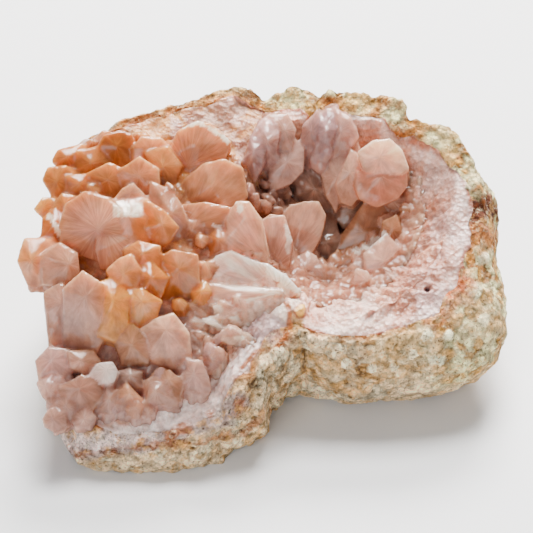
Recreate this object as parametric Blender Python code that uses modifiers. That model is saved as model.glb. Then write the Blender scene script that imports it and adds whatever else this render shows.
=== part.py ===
"""Broken geode: a knobbly rind, a quartz wall, a crystal-lined hollow and a crystal mound.

Axes: +X to the right, +Y to the back, +Z up.  The rind rests on its flat spot at Z = 0.
Lengths in the lists are millimetres.  The broken face is a height over the floor plan.
Crystals are seated in the sight frame: u right, v up and w out of a plane tipped back 50 degrees.
"""
import math

import bmesh
import bpy
import numpy as np
from mathutils import Vector

MM = 0.001
GAP = 0.3
FACE_GAP = 0.45
OBJECT_NAME = "amethyst_geode"

SIGHT = math.radians(40.0)
SIGHT_HEIGHT = 22.0
SIN_SIGHT = math.sin(SIGHT)
COS_SIGHT = math.cos(SIGHT)

# Centre of the floor plan, about which the rings are swept, and a plan wider than the object.
PLAN_CENTRE = (2.0, -3.0)
PLAN_HALF = (70.0, 60.0)
ABOVE_ALL = 90.0
BELOW_ALL = -30.0

# Edge of the broken face.
RIM = [
    (-7, 36, 43.6), (0, 32.6, 42.6), (8.3, 36, 43.6), (11, 33, 42.4), (17, 35, 43.2),
    (24, 33.4, 42.6), (29, 32.4, 42.2), (31.6, 28, 40.8), (39.6, 25.4, 39.4), (45.4, 18.2, 36.8),
    (47, 8.6, 33.4), (46.6, 1.9, 31), (45.4, -4.5, 28.4), (42.8, -9.9, 26.4),
    (39.6, -15.3, 24.4), (36, -19.3, 23), (30, -22.2, 22), (24, -23.3, 21.6), (16, -24.2, 21.2),
    (11, -24.3, 21), (6.6, -21.3, 22.2), (4.2, -23.6, 21.4), (1, -27.2, 20), (-2, -30.5, 18.8),
    (-4, -34, 16.5), (-7, -37.3, 12.8), (-13, -40.6, 8.8), (-25, -41.8, 7.7), (-36, -41, 5.3),
    (-39.6, -39, 4.5), (-42.6, -34, 6), (-45.4, -27, 9), (-46, -20, 14), (-45, -9, 20),
    (-44.5, 3, 25), (-44, 14, 30), (-41, 22, 35.5), (-34, 26.6, 38.5), (-25, 30, 40.6),
    (-16, 32.8, 42.4), (-10, 35, 43.4),
]

# Widest ring of the outside.
BELLY = [
    (52, -12.5, 15), (51.2, -16.6, 14.5), (46.4, -21.6, 14), (41.4, -24, 14), (30, -25.6, 14),
    (20, -26.2, 14), (13, -24.2, 15), (8.4, -21.4, 16), (4.5, -25, 14.6), (0, -28.8, 13),
    (-1.2, -35.4, 9.5), (-6.6, -38, 7), (-13.8, -40.4, 5), (-25, -42.2, 3.4), (-36, -42.4, 2.4),
    (-40, -40.8, 2), (-42.4, -37, 2.4), (-44.6, -31, 5.5), (-47.6, -25, 8), (-46.4, -14, 12),
    (-46, -3, 16), (-45.5, 8, 19), (-44.3, 18, 22), (-38, 26, 24), (-26, 32, 25),
    (-10, 36, 26), (10, 36, 26), (28, 32.6, 24), (40, 26, 22), (46.5, 19, 22),
    (50.6, 14, 22), (49.8, 8.6, 20), (49.8, 2.8, 18), (51.4, -5.3, 16),
]

# Foot ring: its share of the belly, wider along the front between two plan angles.
FOOT_SHARE = 0.58
FOOT_FRONT_SHARE = 0.97
FRONT_FROM = math.radians(-150.0)
FRONT_TO = math.radians(-95.0)
FRONT_FADE = math.radians(15.0)

# Steps up the side at which the foot, the belly and the rim are reached.
FOOT_STEP = 0.2
BELLY_STEP = 0.45
RIM_STEP = 0.7
SHOULDER = math.radians(32.0)
DOME = 45.0
KEEL = 3.0

# Thickness of the rind on the broken face, by place on the plan.
RIND_AT_RIM = [
    (46, 8, 2.6), (44, 18, 4.6), (31, 28, 4.6), (17, 33, 5.2), (8, 34, 5.4), (-7, 36, 2.0),
    (-25, 28, 1.7), (-44, 14, 1.8), (-46, -20, 2.0), (-41, -39, 2.2), (-25, -42, 2.6),
    (-13, -40.6, 4.0), (-7, -37, 6.0), (-1, -29, 6.6), (2, -26, 5.0), (5, -23, 3.4),
    (16, -24, 2.2), (36, -19, 2.2),
]
RIND_AT_BELLY = 5.5
RIND_BELOW = 5.0
LEAST_RISE = 1.0

# Fineness of the skins.
RING_COUNT = 132
RING_STEPS = 44
INNER_COUNT = 52
INNER_STEPS = 18
RIND_TRIS = 1900
FACE_CELLS = 30
FLAT_CELLS = 2
LENS_COUNT = 28
LENS_STEPS = 10

# Knobs of the rind: name, spacing, depth.
KNOBS = [("knobs", 7.5, -2.6), ("grains", 3.6, -0.8)]
KNOB_MIDDLE = 0.45

# The broken face: one main slope, a lower one at the left front, a bevel along the left.
FACE_HEIGHT = 30.1
FACE_SLOPE = 0.37
FRONT_HEIGHT = 8.2
FRONT_Y = -42.0
FRONT_SLOPE = 0.62
LEFT_X = -43.5
LEFT_SLOPE = 1.3
SPLIT_X = -2.0
SPLIT_WIDTH = 8.0
SPLIT_RISE = 12.0
BROAD_WAVE = 0.35
BROAD_PITCH = (0.7, 0.6)
BROAD_START = 1.3
LONG_WAVE = 0.25
LONG_PITCH = (0.31, 0.45)

# The hollow: place of its floor, reach to the right, left, back and front, and depth.
HOLLOW = (13.0, 15.5)
REACH_RIGHT = 28.0
REACH_LEFT = 17.0
REACH_BACK = 13.0
REACH_FRONT = 34.0
HOLLOW_DEPTH = 23.0
HOLLOW_EDGE = 1.04
HOLLOW_FLAT = 0.22

# Swell under the large crystals: centre and reach on the plan, height.
MOUND = (-27.0, 2.0, 19.0, 23.0, 4.0)
CLUSTER_FOOT = (-25.0, -6.0)
CLUSTER_REACH = (15.5, 20.5, 30.0, 29.0)
CLUSTER_SKIN = 1.4
SKIN = 1.6
SKIN_REACH = 0.72
LENS_ROOT = 2.0

# Crystals: tip (u, v), its rise over the seat, steepness of the point, lean (u, v), and the
# corners (u, v) of the shoulder under the point.
CLUSTER = [
    ((-36, 6.9), 10, 0.62, (-0.1, 0.05), [
        (-44.4, 7), (-42.2, 13.6), (-36, 15.8), (-26.8, 14.2), (-24.8, 5.2), (-31.6, 0.8),
        (-39, 1.6)]),
    ((-32.3, 26.4), 5.5, 0.7, (0.1, 0.3), [
        (-35.6, 26.6), (-32.2, 29), (-29.4, 27.6), (-29.2, 25), (-31.5, 22.6), (-35, 21.6)]),
    ((-36.6, 27.4), 3.5, 0.6, (0, 0.4), [
        (-40.4, 25.6), (-37.6, 27.4), (-35.6, 29.6), (-33.4, 29), (-33, 24), (-38, 23)]),
    ((-43.4, 23.8), 6, 0.7, (-0.3, 0.3), [
        (-46.4, 23), (-45.1, 25.3), (-40.4, 26.5), (-39.2, 24.8), (-40.2, 21.8), (-44.6, 21)]),
    ((-38, 22.4), 6.2, 0.6, (-0.1, 0.3), [
        (-41, 24.8), (-36.4, 26), (-34.2, 22.6), (-35.6, 19), (-40, 19.2), (-41.8, 21.6)]),
    ((-45.4, 18.4), 7, 0.7, (-0.4, 0.15), [
        (-48.2, 18.6), (-47.1, 21.2), (-43.6, 21.6), (-42, 19.6), (-41.8, 15.6), (-46, 14.8)]),
    ((-40.4, 17.8), 7.2, 0.7, (-0.2, 0.15), [
        (-43.1, 19.5), (-38.7, 19.8), (-37, 17.4), (-39.4, 14.8), (-42.9, 15.6)]),
    ((-34.2, 18.6), 6.2, 0.55, (0, 0.25), [
        (-39, 19.6), (-34, 22.2), (-30.8, 20.6), (-30.4, 16), (-33, 13.6), (-38.6, 14.6)]),
    ((-48.2, 12.8), 6, 0.7, (-0.6, 0.1), [
        (-50.1, 12.4), (-48.2, 14.8), (-45.6, 14.6), (-45.2, 11.4), (-47.8, 10)]),
    ((-45.8, 8.6), 7, 0.7, (-0.35, 0.1), [
        (-48.4, 6.4), (-48, 10.4), (-45.4, 12.6), (-42.4, 12.2), (-43.4, 6.8), (-46, 4.6)]),
    ((-43.6, 13.4), 7, 0.6, (-0.2, 0.2), [
        (-46, 13), (-44.2, 15.6), (-41.6, 15.2), (-41, 12), (-43.8, 11)]),
    ((-50.2, 1.2), 8.6, 0.7, (-0.5, 0), [
        (-53, 1), (-51.8, 5.6), (-47.6, 5.4), (-45.6, 1.2), (-47.4, -5.2), (-50.8, -4.6)]),
    ((-42, 0.6), 9.4, 0.6, (0.15, 0.05), [
        (-47.6, 2.2), (-44.2, 4.6), (-40.6, 2.6), (-40.2, -1.4), (-43, -3.8), (-47.6, -3.6)]),
    ((-43.2, -7.6), 7, 0.5, (-0.25, 0.3), [
        (-47.2, -6), (-43.6, -4), (-40.6, -8), (-40.4, -16), (-43, -18.4), (-46.2, -17),
        (-46.4, -10)]),
    ((-38.2, -6.4), 11.5, 0.62, (0.05, 0.35), [
        (-42.6, -5.2), (-38.8, -1.8), (-34.8, -4.4), (-34.2, -13.4), (-37, -18.9), (-42.6, -17.4)]),
    ((-32.4, -7.2), 11, 0.62, (0.1, 0.3), [
        (-35.2, -3.8), (-31.5, -2.6), (-29.4, -6.4), (-29.6, -11.6), (-32.2, -15.1), (-35.4, -14)]),
    ((-30.3, -1.6), 11.4, 0.7, (0.05, 0.2), [
        (-33.6, -0.8), (-31.2, 1.4), (-28.8, 2.4), (-26.9, -0.8), (-27.8, -4.8), (-31.4, -5)]),
    ((-26.4, -7.4), 10, 0.7, (0.15, 0.15), [
        (-30, -6), (-26.4, -5), (-22.6, -7.4), (-23.8, -11.4), (-27.1, -12.6), (-29.6, -9.4)]),
    ((-24.4, -2.4), 9.6, 0.7, (0.15, 0.15), [
        (-27.6, -1), (-24.6, 0.8), (-21, -2.4), (-22.6, -6.4), (-26.6, -6)]),
    ((-26.4, 2.8), 9.6, 0.6, (0.1, 0.2), [
        (-30, 3.6), (-27.1, 5.2), (-22.8, 4.2), (-23.4, 0.4), (-27.1, -0.8), (-29.6, 1)]),
    ((-18.6, -0.4), 8.2, 0.6, (0.15, 0.3), [
        (-23.2, 1.2), (-19.8, 2.9), (-15, 2), (-14.6, -3), (-16.2, -8.8), (-20, -10.4),
        (-23, -7.4)]),
    ((-21.6, 8.4), 10.2, 0.62, (0.45, 0.05), [
        (-25.8, 12.6), (-21.6, 11.6), (-18.9, 8.7), (-20.4, 5.8), (-23.4, 3.8), (-26, 6)]),
    ((-27.5, 19.6), 7.4, 0.38, (0.05, 0.2), [
        (-31.6, 20.6), (-27.4, 23.4), (-23.6, 21), (-23.4, 18), (-25.4, 15.4), (-30.8, 16.8)]),
    ((-29.3, 15.6), 8.6, 0.6, (0, 0.2), [
        (-32.4, 14.6), (-31, 16.6), (-28.6, 17.8), (-26.6, 15.6), (-26.8, 13.4), (-31, 12.6)]),
    ((-20.4, 11.4), 7.4, 0.6, (0.15, 0.3), [
        (-24.4, 17.6), (-20.2, 15.6), (-18.2, 12.8), (-16.9, 9), (-17, 4.6), (-20.4, 3.6),
        (-25, 9)]),
    ((-15.6, 26.4), 9, 0.5, (0.05, 0.2), [
        (-21, 23.6), (-18.8, 29), (-15.2, 30.9), (-12.4, 30.4), (-8.4, 26.9), (-9.7, 23.2),
        (-15, 19.6), (-18.8, 17.4)]),
    ((-22.4, 21.6), 6, 0.55, (-0.05, 0.25), [
        (-26.2, 24.4), (-21.4, 25.8), (-18.6, 22), (-20.4, 17.6), (-23.6, 18.8)]),
    ((-11.8, 17.6), 7, 0.4, (0.15, 0.3), [
        (-18.6, 13), (-19.4, 16.2), (-16.4, 19.6), (-13.6, 21.9), (-9.6, 22.8), (-5.9, 21.2),
        (-4.9, 15.6), (-8.4, 12)]),
    ((-13.4, 9.4), 5.2, 0.5, (0.1, 0.2), [
        (-18.4, 12.8), (-12.8, 13.4), (-7.9, 12.3), (-8.1, 8.6), (-11.9, 6.3), (-14.5, 3.8),
        (-17.2, 5)]),
    ((-5.4, 10.4), 6, 0.6, (0.15, 0.3), [
        (-8.6, 7), (-7.6, 12.7), (-5, 13.7), (-2.9, 12), (-1.3, 8), (-1.8, 3), (-6.6, 3.4)]),
    ((-10.4, 5.9), 5, 0.8, (0.2, 0.2), [
        (-12.2, 6.2), (-10.4, 7.8), (-8.2, 6.2), (-8.8, 3.4), (-11.8, 2.8)]),
    ((-13.9, -5.2), 4.6, 0.8, (0.2, 0.2), [
        (-15.8, -5.4), (-13, -3.2), (-11.8, -5.4), (-13.2, -8.2), (-15.2, -7.4)]),
    ((-21.2, -13.4), 9, 0.62, (0.05, 0.35), [
        (-26.4, -13.6), (-23, -11.4), (-19.8, -10.2), (-16.9, -14), (-16.3, -18.9), (-20.2, -21.3),
        (-25.4, -18.8)]),
    ((-28.6, -16.6), 6.4, 0.6, (0, 0.3), [
        (-32.2, -15), (-28.2, -12.6), (-25, -15.4), (-25.4, -20), (-30.6, -20.4)]),
    ((-39.2, -20), 6, 0.7, (-0.1, 0.2), [
        (-41.8, -18), (-37, -17.8), (-35.4, -20), (-38.6, -22.6), (-41.4, -21.2)]),
    ((-45.6, -19.8), 5.4, 0.5, (-0.3, 0.1), [
        (-48.8, -20), (-46.2, -17.2), (-42.2, -17.8), (-41, -21.4), (-43.4, -24.2), (-48.2, -23.6)]),
    ((-46.8, -25.4), 4.2, 0.6, (-0.35, 0.1), [
        (-48.8, -24.6), (-45.6, -23.4), (-43.4, -25.4), (-44.6, -28.4), (-47.4, -27.8)]),
    ((-33.9, -21.7), 6.4, 0.5, (0, 0.3), [
        (-37.4, -23), (-35.6, -20.5), (-32.7, -20.2), (-31.7, -22), (-32.5, -24.2), (-35.2, -24.6)]),
    ((-39.6, -25.8), 5, 0.55, (-0.1, 0.25), [
        (-43.4, -25.6), (-39, -23.2), (-35.8, -24.8), (-35, -27.4), (-37, -30), (-42.8, -29.6)]),
    ((-33.2, -28), 4.4, 0.7, (0, 0.3), [
        (-35.4, -29.4), (-33.8, -26), (-31.2, -26.4), (-31, -31.2), (-33, -33.8), (-35.6, -32)]),
    ((-29, -26.8), 5.2, 0.75, (0.05, 0.3), [
        (-31.8, -28), (-29.4, -25.2), (-26, -28.6), (-24.2, -32.2), (-26.2, -34.4), (-30.6, -34.4)]),
    ((-28.9, -23), 4.6, 0.7, (0, 0.3), [
        (-31.6, -22.8), (-29.2, -21.4), (-26.6, -22.4), (-26.8, -25.4), (-30.6, -26)]),
    ((-23.4, -26.4), 5, 0.75, (0.1, 0.3), [
        (-25.2, -28.6), (-24.4, -25.2), (-22.2, -25), (-19.6, -28.2), (-18.2, -30.6), (-23, -32.4)]),
    ((-20.8, -24), 4.6, 0.7, (0.1, 0.3), [
        (-24, -22.8), (-20.4, -22), (-17.8, -24.6), (-18.4, -28.6), (-22, -26)]),
    ((-15.4, -22.8), 3.8, 0.6, (0.2, 0.3), [
        (-18, -25.4), (-16.8, -20), (-13.6, -20.4), (-11.8, -25.6), (-12.4, -28), (-16, -28.4)]),
    ((-45, -32.2), 3.8, 0.45, (-0.3, 0.1), [
        (-47.2, -32), (-45.6, -30), (-43, -31), (-42.8, -33.4), (-44.8, -35), (-46.9, -33.8)]),
    ((-38.6, -32.2), 3, 0.7, (-0.1, 0.3), [
        (-41, -31.6), (-38.4, -30), (-36.2, -31.6), (-37.2, -34.6), (-40.4, -34.4)]),
    ((-42.4, -29.6), 3.4, 0.7, (-0.2, 0.2), [
        (-44.6, -29.2), (-42.6, -27.8), (-40.6, -29.6), (-41.2, -32), (-44, -31.6)]),
]
HOLLOW_CRYSTALS = [
    ((25.2, 20.6), 10, 0.5, (0.05, 0), [
        (20.3, 23.5), (22, 26.8), (25, 28), (28.4, 26.8), (30.4, 23), (29.9, 19), (28.2, 15.4),
        (24.6, 13.7), (21.6, 14.2), (20.2, 18)]),
    ((17.8, 17.2), 9, 0.55, (-0.15, 0), [
        (14.8, 18.6), (17.4, 20.4), (20.4, 24.2), (21.8, 20.6), (20.6, 14.8), (17.8, 13.5),
        (16, 14.8)]),
    ((15.4, 19.6), 7.6, 0.5, (0, -0.1), [
        (12.4, 19.8), (14.2, 22.9), (16.5, 26.6), (19, 28.4), (20.2, 25), (17.2, 20), (15.6, 17.8),
        (15.3, 12.8), (13.3, 16)]),
    ((10.8, 16.2), 5.6, 0.5, (-0.1, -0.1), [
        (6.7, 19.4), (9.1, 20.6), (12.6, 20), (13.3, 17), (15, 13.2), (12.4, 12.3), (9.5, 13.6),
        (7.4, 15.8)]),
    ((18, 12), 4.4, 0.6, (0, 0.1), [
        (15.2, 12.6), (17.2, 14.6), (21.4, 14.4), (21, 12.4), (19.2, 8.9), (17.2, 8.9),
        (15.6, 10.6)]),
    ((21.4, 7.4), 4.6, 0.3, (-0.3, -0.1), [
        (21, 13), (25.8, 13.4), (26.6, 9.6), (25.4, 6), (20.2, 2), (15, -0.9), (11.6, -1.2),
        (15.8, 2), (17.2, 5), (19.6, 9)]),
    ((27.4, 8), 4.6, 0.6, (-0.2, 0.2), [
        (25.6, 9.6), (28.3, 11), (29.3, 7.6), (28.8, 3), (26.6, 5.6), (25.2, 6.4)]),
    ((13, 5.4), 4.4, 0.5, (0, 0.2), [
        (11.8, 11.3), (14.6, 11.1), (15.5, 7.6), (16.2, 5.2), (14.4, 1), (11.2, 0.2), (10, 5.1)]),
    ((7.2, 8.4), 8, 0.4, (0.1, 0.25), [
        (2.6, 9.8), (5.5, 12.8), (8.4, 13.6), (11, 13.7), (12.5, 10.9), (11.5, 6.5), (9.2, 2.8),
        (5.2, -0.8), (3.2, 2.2)]),
    ((0.8, 6.4), 7, 0.45, (0, 0.3), [
        (-1.8, 9), (0.4, 10.1), (3.2, 10.6), (3.8, 5), (3, 0.6), (0.6, -0.4), (-1.2, 1)]),
    ((8.8, 0.2), 4.4, 0.6, (0, 0.3), [
        (6.4, 1.6), (9, 3.1), (10.7, 2), (11.6, -1), (9, -4.4), (6.6, -3)]),
    ((0.6, 21.8), 5.4, 0.5, (-0.05, -0.1), [
        (-5.8, 20.4), (-5.2, 25.5), (-3.6, 29.6), (0, 31.2), (5, 29.2), (8.2, 25.6), (8, 21.6),
        (5.4, 18.8), (1.8, 17.3), (-2.6, 17.9)]),
    ((-2.8, 26.4), 4.6, 0.6, (-0.1, -0.1), [
        (-4.4, 27.6), (-2.4, 31), (0.2, 30.4), (0.8, 26), (-1.6, 23.6), (-4.6, 24.4)]),
    ((10.6, 24.6), 5, 0.5, (0, -0.1), [
        (8, 20.3), (7.8, 25.6), (9.8, 29.8), (12.7, 29.3), (13.2, 24), (11.6, 20.3)]),
    ((15.2, 26.6), 5.6, 0.5, (0, -0.1), [
        (12.6, 28.8), (16, 29.2), (18.9, 28.6), (15.8, 24.3), (14, 22.3), (12.6, 23.4)]),
    ((25.6, 1.2), 3.6, 0.5, (-0.1, 0.3), [
        (21.6, 2.6), (26.1, 6.7), (28.9, 3.3), (29.8, 0.2), (28.3, -4.1), (25, -5.1), (22, -1.8)]),
    ((21.6, -3), 2.8, 0.5, (0, 0.3), [
        (19.6, -0.6), (21.8, -1.2), (23.6, -4), (23.2, -6), (20.2, -5.6), (19, -3.2)]),
]

# Points of four planes, turned by a fixed angle from one crystal to the next.
SPREAD = 1.1
STEEP_SHARE = 0.85
PLANES = [(10.0, 1.2), (100.0, 0.7), (195.0, 1.0), (285.0, 1.35)]
PLANE_TURN = 37.0
ROOT = 5.0
SEARCH_TOP = 60.0
SEARCH_STEP = 0.1
SEARCH_COUNT = 900

# Room left round the large crystals by the crust.
ROOM = 1.05
ROOM_VOXEL = 0.8
ROOM_KEEP = 0.3

MATERIALS = {
    "rind": ((0.56, 0.45, 0.31), 0.85),
    "quartz_wall": ((0.74, 0.55, 0.49), 0.42),
    "hollow_crystals": ((0.62, 0.40, 0.36), 0.22),
    "crystal_cluster": ((0.76, 0.42, 0.28), 0.2),
}


def clear_scene():
    for item in list(bpy.data.objects):
        bpy.data.objects.remove(item)


def new_collection(name, hidden):
    group = bpy.data.collections.new(name)
    bpy.context.scene.collection.children.link(group)
    group.hide_render = hidden
    return group


def around(x, y):
    return np.arctan2(y - PLAN_CENTRE[1], x - PLAN_CENTRE[0])


def ring(points, angles):
    """Radius and third column of a ring of points at the given plan angles."""
    table = np.array(points, float)
    at = around(table[:, 0], table[:, 1])
    radius = np.hypot(table[:, 0] - PLAN_CENTRE[0], table[:, 1] - PLAN_CENTRE[1])
    order = np.argsort(at)
    full = 2.0 * math.pi
    return (np.interp(angles, at[order], radius[order], period=full),
            np.interp(angles, at[order], table[order, 2], period=full))


def share_of(value, start, end):
    """0 before start and 1 after end."""
    return np.clip((value - start) / (end - start), 0.0, 1.0)


def foot_share(angles):
    front = share_of(-angles, -FRONT_TO, -FRONT_TO + FRONT_FADE)
    front = front * share_of(angles, FRONT_FROM, FRONT_FROM + FRONT_FADE)
    return FOOT_SHARE + (FOOT_FRONT_SHARE - FOOT_SHARE) * front


def rings(angles, inner, extra):
    """Foot, belly and rim at the given plan angles, inside the rind where inner is true."""
    rim, rim_z = ring(RIM, angles)
    belly, belly_z = ring(BELLY, angles)
    foot = belly * foot_share(angles)
    base = np.zeros_like(rim)
    if inner:
        rim = rim - ring(RIND_AT_RIM, angles)[1] - extra
        belly = belly - RIND_AT_BELLY - extra
        foot = foot - RIND_AT_BELLY - extra
        base = base + RIND_BELOW + extra
        belly_z = np.maximum(belly_z, base + LEAST_RISE)
        overhang = np.where(belly > rim, extra, 0.0)
        rim_z = np.maximum(rim_z, belly_z + LEAST_RISE) - overhang
    return foot, base, belly, belly_z, rim, rim_z


def swept(angles, step, inner, extra):
    """Radius and height on the body, step 0 at the bottom centre to 1 at the top centre."""
    foot, base, belly, belly_z, rim, rim_z = rings(angles, inner, extra)
    quarter = math.pi / 2.0
    under = share_of(step, 0.0, FOOT_STEP)
    lower = share_of(step, FOOT_STEP, BELLY_STEP) * quarter
    upper = quarter - (quarter - SHOULDER) * share_of(step, BELLY_STEP, RIM_STEP)
    over = share_of(step, RIM_STEP, 1.0) * quarter
    inwards = (np.sin(upper) - math.sin(SHOULDER)) / (1.0 - math.sin(SHOULDER))
    upwards = np.cos(upper) / math.cos(SHOULDER)
    radius = np.select(
        [step < FOOT_STEP, step < BELLY_STEP, step <= RIM_STEP],
        [foot * under, foot + (belly - foot) * np.sin(lower), rim + (belly - rim) * inwards],
        rim * np.cos(over))
    height = np.select(
        [step < FOOT_STEP, step < BELLY_STEP, step <= RIM_STEP],
        [base - KEEL * (1.0 - under ** 2), base + (belly_z - base) * (1.0 - np.cos(lower)),
         belly_z + (rim_z - belly_z) * upwards],
        rim_z + DOME * np.sin(over))
    return radius, height


def moved(work, x, y, z):
    for index, vert in enumerate(work.verts):
        vert.co = (MM * x[index], MM * y[index], MM * z[index])


def swept_body(name, inner, extra, group):
    """A ball primitive whose rows are moved onto the rings."""
    work = bmesh.new()
    count = INNER_COUNT if inner else RING_COUNT
    rows = INNER_STEPS if inner else RING_STEPS
    bmesh.ops.create_uvsphere(work, u_segments=count, v_segments=rows, radius=1.0)
    bmesh.ops.triangulate(work, faces=work.faces, quad_method="FIXED")
    spots = np.array([vert.co[:] for vert in work.verts])
    angles = np.arctan2(spots[:, 1], spots[:, 0])
    step = 1.0 - np.arccos(np.clip(spots[:, 2], -1.0, 1.0)) / math.pi
    radius, height = swept(angles, step, inner, extra)
    moved(work, PLAN_CENTRE[0] + radius * np.cos(angles),
          PLAN_CENTRE[1] + radius * np.sin(angles), height)
    return object_from(name, work, group)


def object_from(name, work, group):
    bmesh.ops.recalc_face_normals(work, faces=work.faces)
    mesh = bpy.data.meshes.new(name)
    work.to_mesh(mesh)
    work.free()
    item = bpy.data.objects.new(name, mesh)
    group.objects.link(item)
    return item


def apply_modifiers(item):
    graph = bpy.context.evaluated_depsgraph_get()
    mesh = bpy.data.meshes.new_from_object(item.evaluated_get(graph))
    item.modifiers.clear()
    item.data = mesh


def cut(item, cutter, operation):
    step = item.modifiers.new(operation.lower(), "BOOLEAN")
    step.operation = operation
    step.solver = "EXACT"
    step.object = cutter
    apply_modifiers(item)


def reach_share(x, y):
    """0 at the floor of the hollow, 1 at its edge."""
    across = np.where(x > HOLLOW[0], (x - HOLLOW[0]) / REACH_RIGHT, (HOLLOW[0] - x) / REACH_LEFT)
    along = np.where(y > HOLLOW[1], (y - HOLLOW[1]) / REACH_BACK, (HOLLOW[1] - y) / REACH_FRONT)
    return np.hypot(across, along)


def face_height(x, y):
    """Height of the broken face over the floor plan."""
    main = FACE_HEIGHT + FACE_SLOPE * y
    front = FRONT_HEIGHT + FRONT_SLOPE * (y - FRONT_Y)
    side = share_of(-x, -SPLIT_X, -SPLIT_X + SPLIT_WIDTH)
    low = np.where(side > 0.0, np.minimum(main, front + (1.0 - side) * SPLIT_RISE), main)
    low = np.minimum(low, main + LEFT_SLOPE * (x - LEFT_X))
    share = np.sqrt(reach_share(x, y) ** 2 + HOLLOW_FLAT ** 2)
    hollow = HOLLOW_DEPTH * np.clip(HOLLOW_EDGE - share, 0.0, 1.0)
    broad = np.sin(x * BROAD_PITCH[0] + BROAD_START) * np.cos(y * BROAD_PITCH[1])
    long = np.sin(x * LONG_PITCH[0] - y * LONG_PITCH[1])
    return low - hollow + BROAD_WAVE * broad + LONG_WAVE * long


def mound_lift(x, y):
    """Height of the swell that the large crystals stand on, over the broken face."""
    share = ((x - MOUND[0]) / MOUND[2]) ** 2 + ((y - MOUND[1]) / MOUND[3]) ** 2
    return np.maximum(MOUND[4] * (1.0 - share), CLUSTER_SKIN)


def crust_lift(x, y):
    return np.full_like(x, SKIN)


def seat_height(x, y):
    """The swell without the bevel, so that the outer crystals stand out over the left edge."""
    return face_height(np.maximum(x, LEFT_X), y) + mound_lift(x, y)


def block_over_plan(name, height, flat, cells, group):
    """A block between height(x, y) and the level flat, wider than the object."""
    work = bmesh.new()
    bmesh.ops.create_grid(work, x_segments=cells, y_segments=cells, size=1.0)
    bmesh.ops.triangulate(work, faces=work.faces, quad_method="FIXED")
    spots = np.array([vert.co[:] for vert in work.verts])
    x = spots[:, 0] * PLAN_HALF[0]
    y = spots[:, 1] * PLAN_HALF[1]
    moved(work, x, y, height(x, y))
    raised = bmesh.ops.extrude_face_region(work, geom=list(work.faces))
    for vert in raised["geom"]:
        if isinstance(vert, bmesh.types.BMVert):
            vert.co.z = MM * flat
    return object_from(name, work, group)


def below_face(x, y):
    return face_height(x, y) + FACE_GAP


def floor_level(x, y):
    return np.zeros_like(x)


def to_world(u, v, w):
    return Vector((u, v * SIN_SIGHT - w * COS_SIGHT,
                   SIGHT_HEIGHT + v * COS_SIGHT + w * SIN_SIGHT))


def seat(u, v, height):
    """How far out along w the surface lies at u, v, found from the front."""
    for step in range(SEARCH_COUNT):
        w = SEARCH_TOP - step * SEARCH_STEP
        spot = to_world(u, v, w)
        if spot.z < height(spot.x, spot.y):
            return w
    return 0.0


def shoulder_drop(away_u, away_v, steep, turn):
    """How far below the tip the point has come down at a place beside it."""
    drops = [0.0]
    for degrees, share in PLANES:
        angle = math.radians(degrees + turn)
        reach = away_u * math.cos(angle) + away_v * math.sin(angle)
        drops.append(steep * STEEP_SHARE * share * reach)
    return max(drops)


def crystal(row, number, height):
    """A prism on the given shoulder corners, with a point of four planes."""
    tip, rise, steep, lean, corners = row
    w = seat(tip[0], tip[1], height) + rise
    middle = np.mean(corners, axis=0)
    axis = (to_world(lean[0], lean[1], 1.0) - to_world(0.0, 0.0, 0.0)).normalized()
    spots = [to_world(tip[0], tip[1], w)]
    for corner in corners:
        u, v = middle + (np.array(corner) - middle) * SPREAD
        drop = shoulder_drop(u - tip[0], v - tip[1], steep, number * PLANE_TURN)
        spots.append(to_world(u, v, w - drop))
        spots.append(spots[-1] - axis * (rise + ROOT))
    work = bmesh.new()
    for spot in spots:
        work.verts.new(spot * MM)
    bmesh.ops.convex_hull(work, input=work.verts)
    inside = [vert for vert in work.verts if not vert.link_faces]
    bmesh.ops.delete(work, geom=inside, context="VERTS")
    return work


def joined_crystals(name, rows, height, cutters):
    """One closed body from overlapping crystals."""
    first = None
    for number, row in enumerate(rows):
        item = object_from("%s_%02d" % (name, number), crystal(row, number, height), cutters)
        if first is None:
            first = item
        else:
            cut(first, item, "UNION")
            bpy.data.objects.remove(item)
    return first


def material_for(name):
    colour, rough = MATERIALS[name]
    made = bpy.data.materials.new(name)
    made.use_nodes = True
    shader = made.node_tree.nodes["Principled BSDF"]
    shader.inputs["Base Color"].default_value = (*colour, 1.0)
    shader.inputs["Roughness"].default_value = rough
    shader.inputs["Metallic"].default_value = 0.0
    return made


def lens_on_face(name, centre, reach, lift, group):
    """A ball primitive pressed onto the broken face, lifted by lift(x, y) above it."""
    work = bmesh.new()
    bmesh.ops.create_uvsphere(work, u_segments=LENS_COUNT, v_segments=LENS_STEPS, radius=1.0)
    spots = np.array([vert.co[:] for vert in work.verts])
    right = np.where(spots[:, 0] > 0.0, reach[0], reach[1])
    back = np.where(spots[:, 1] > 0.0, reach[2], reach[3])
    x = centre[0] + spots[:, 0] * right
    y = centre[1] + spots[:, 1] * back
    above = spots[:, 2] > 0.5 / LENS_STEPS
    moved(work, x, y, face_height(x, y) + np.where(above, lift(x, y), -LENS_ROOT))
    return object_from(name, work, group)


def grown(item, amount, group):
    """A rounded copy of a body, larger by amount all over."""
    made = bpy.data.objects.new(item.name + "_grown", item.data.copy())
    group.objects.link(made)
    step = made.modifiers.new("round", "REMESH")
    step.voxel_size = ROOM_VOXEL * MM
    step = made.modifiers.new("grow", "DISPLACE")
    step.strength = amount * MM
    step.mid_level = 0.0
    step = made.modifiers.new("thin", "DECIMATE")
    step.ratio = ROOM_KEEP
    apply_modifiers(made)
    return made


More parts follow.
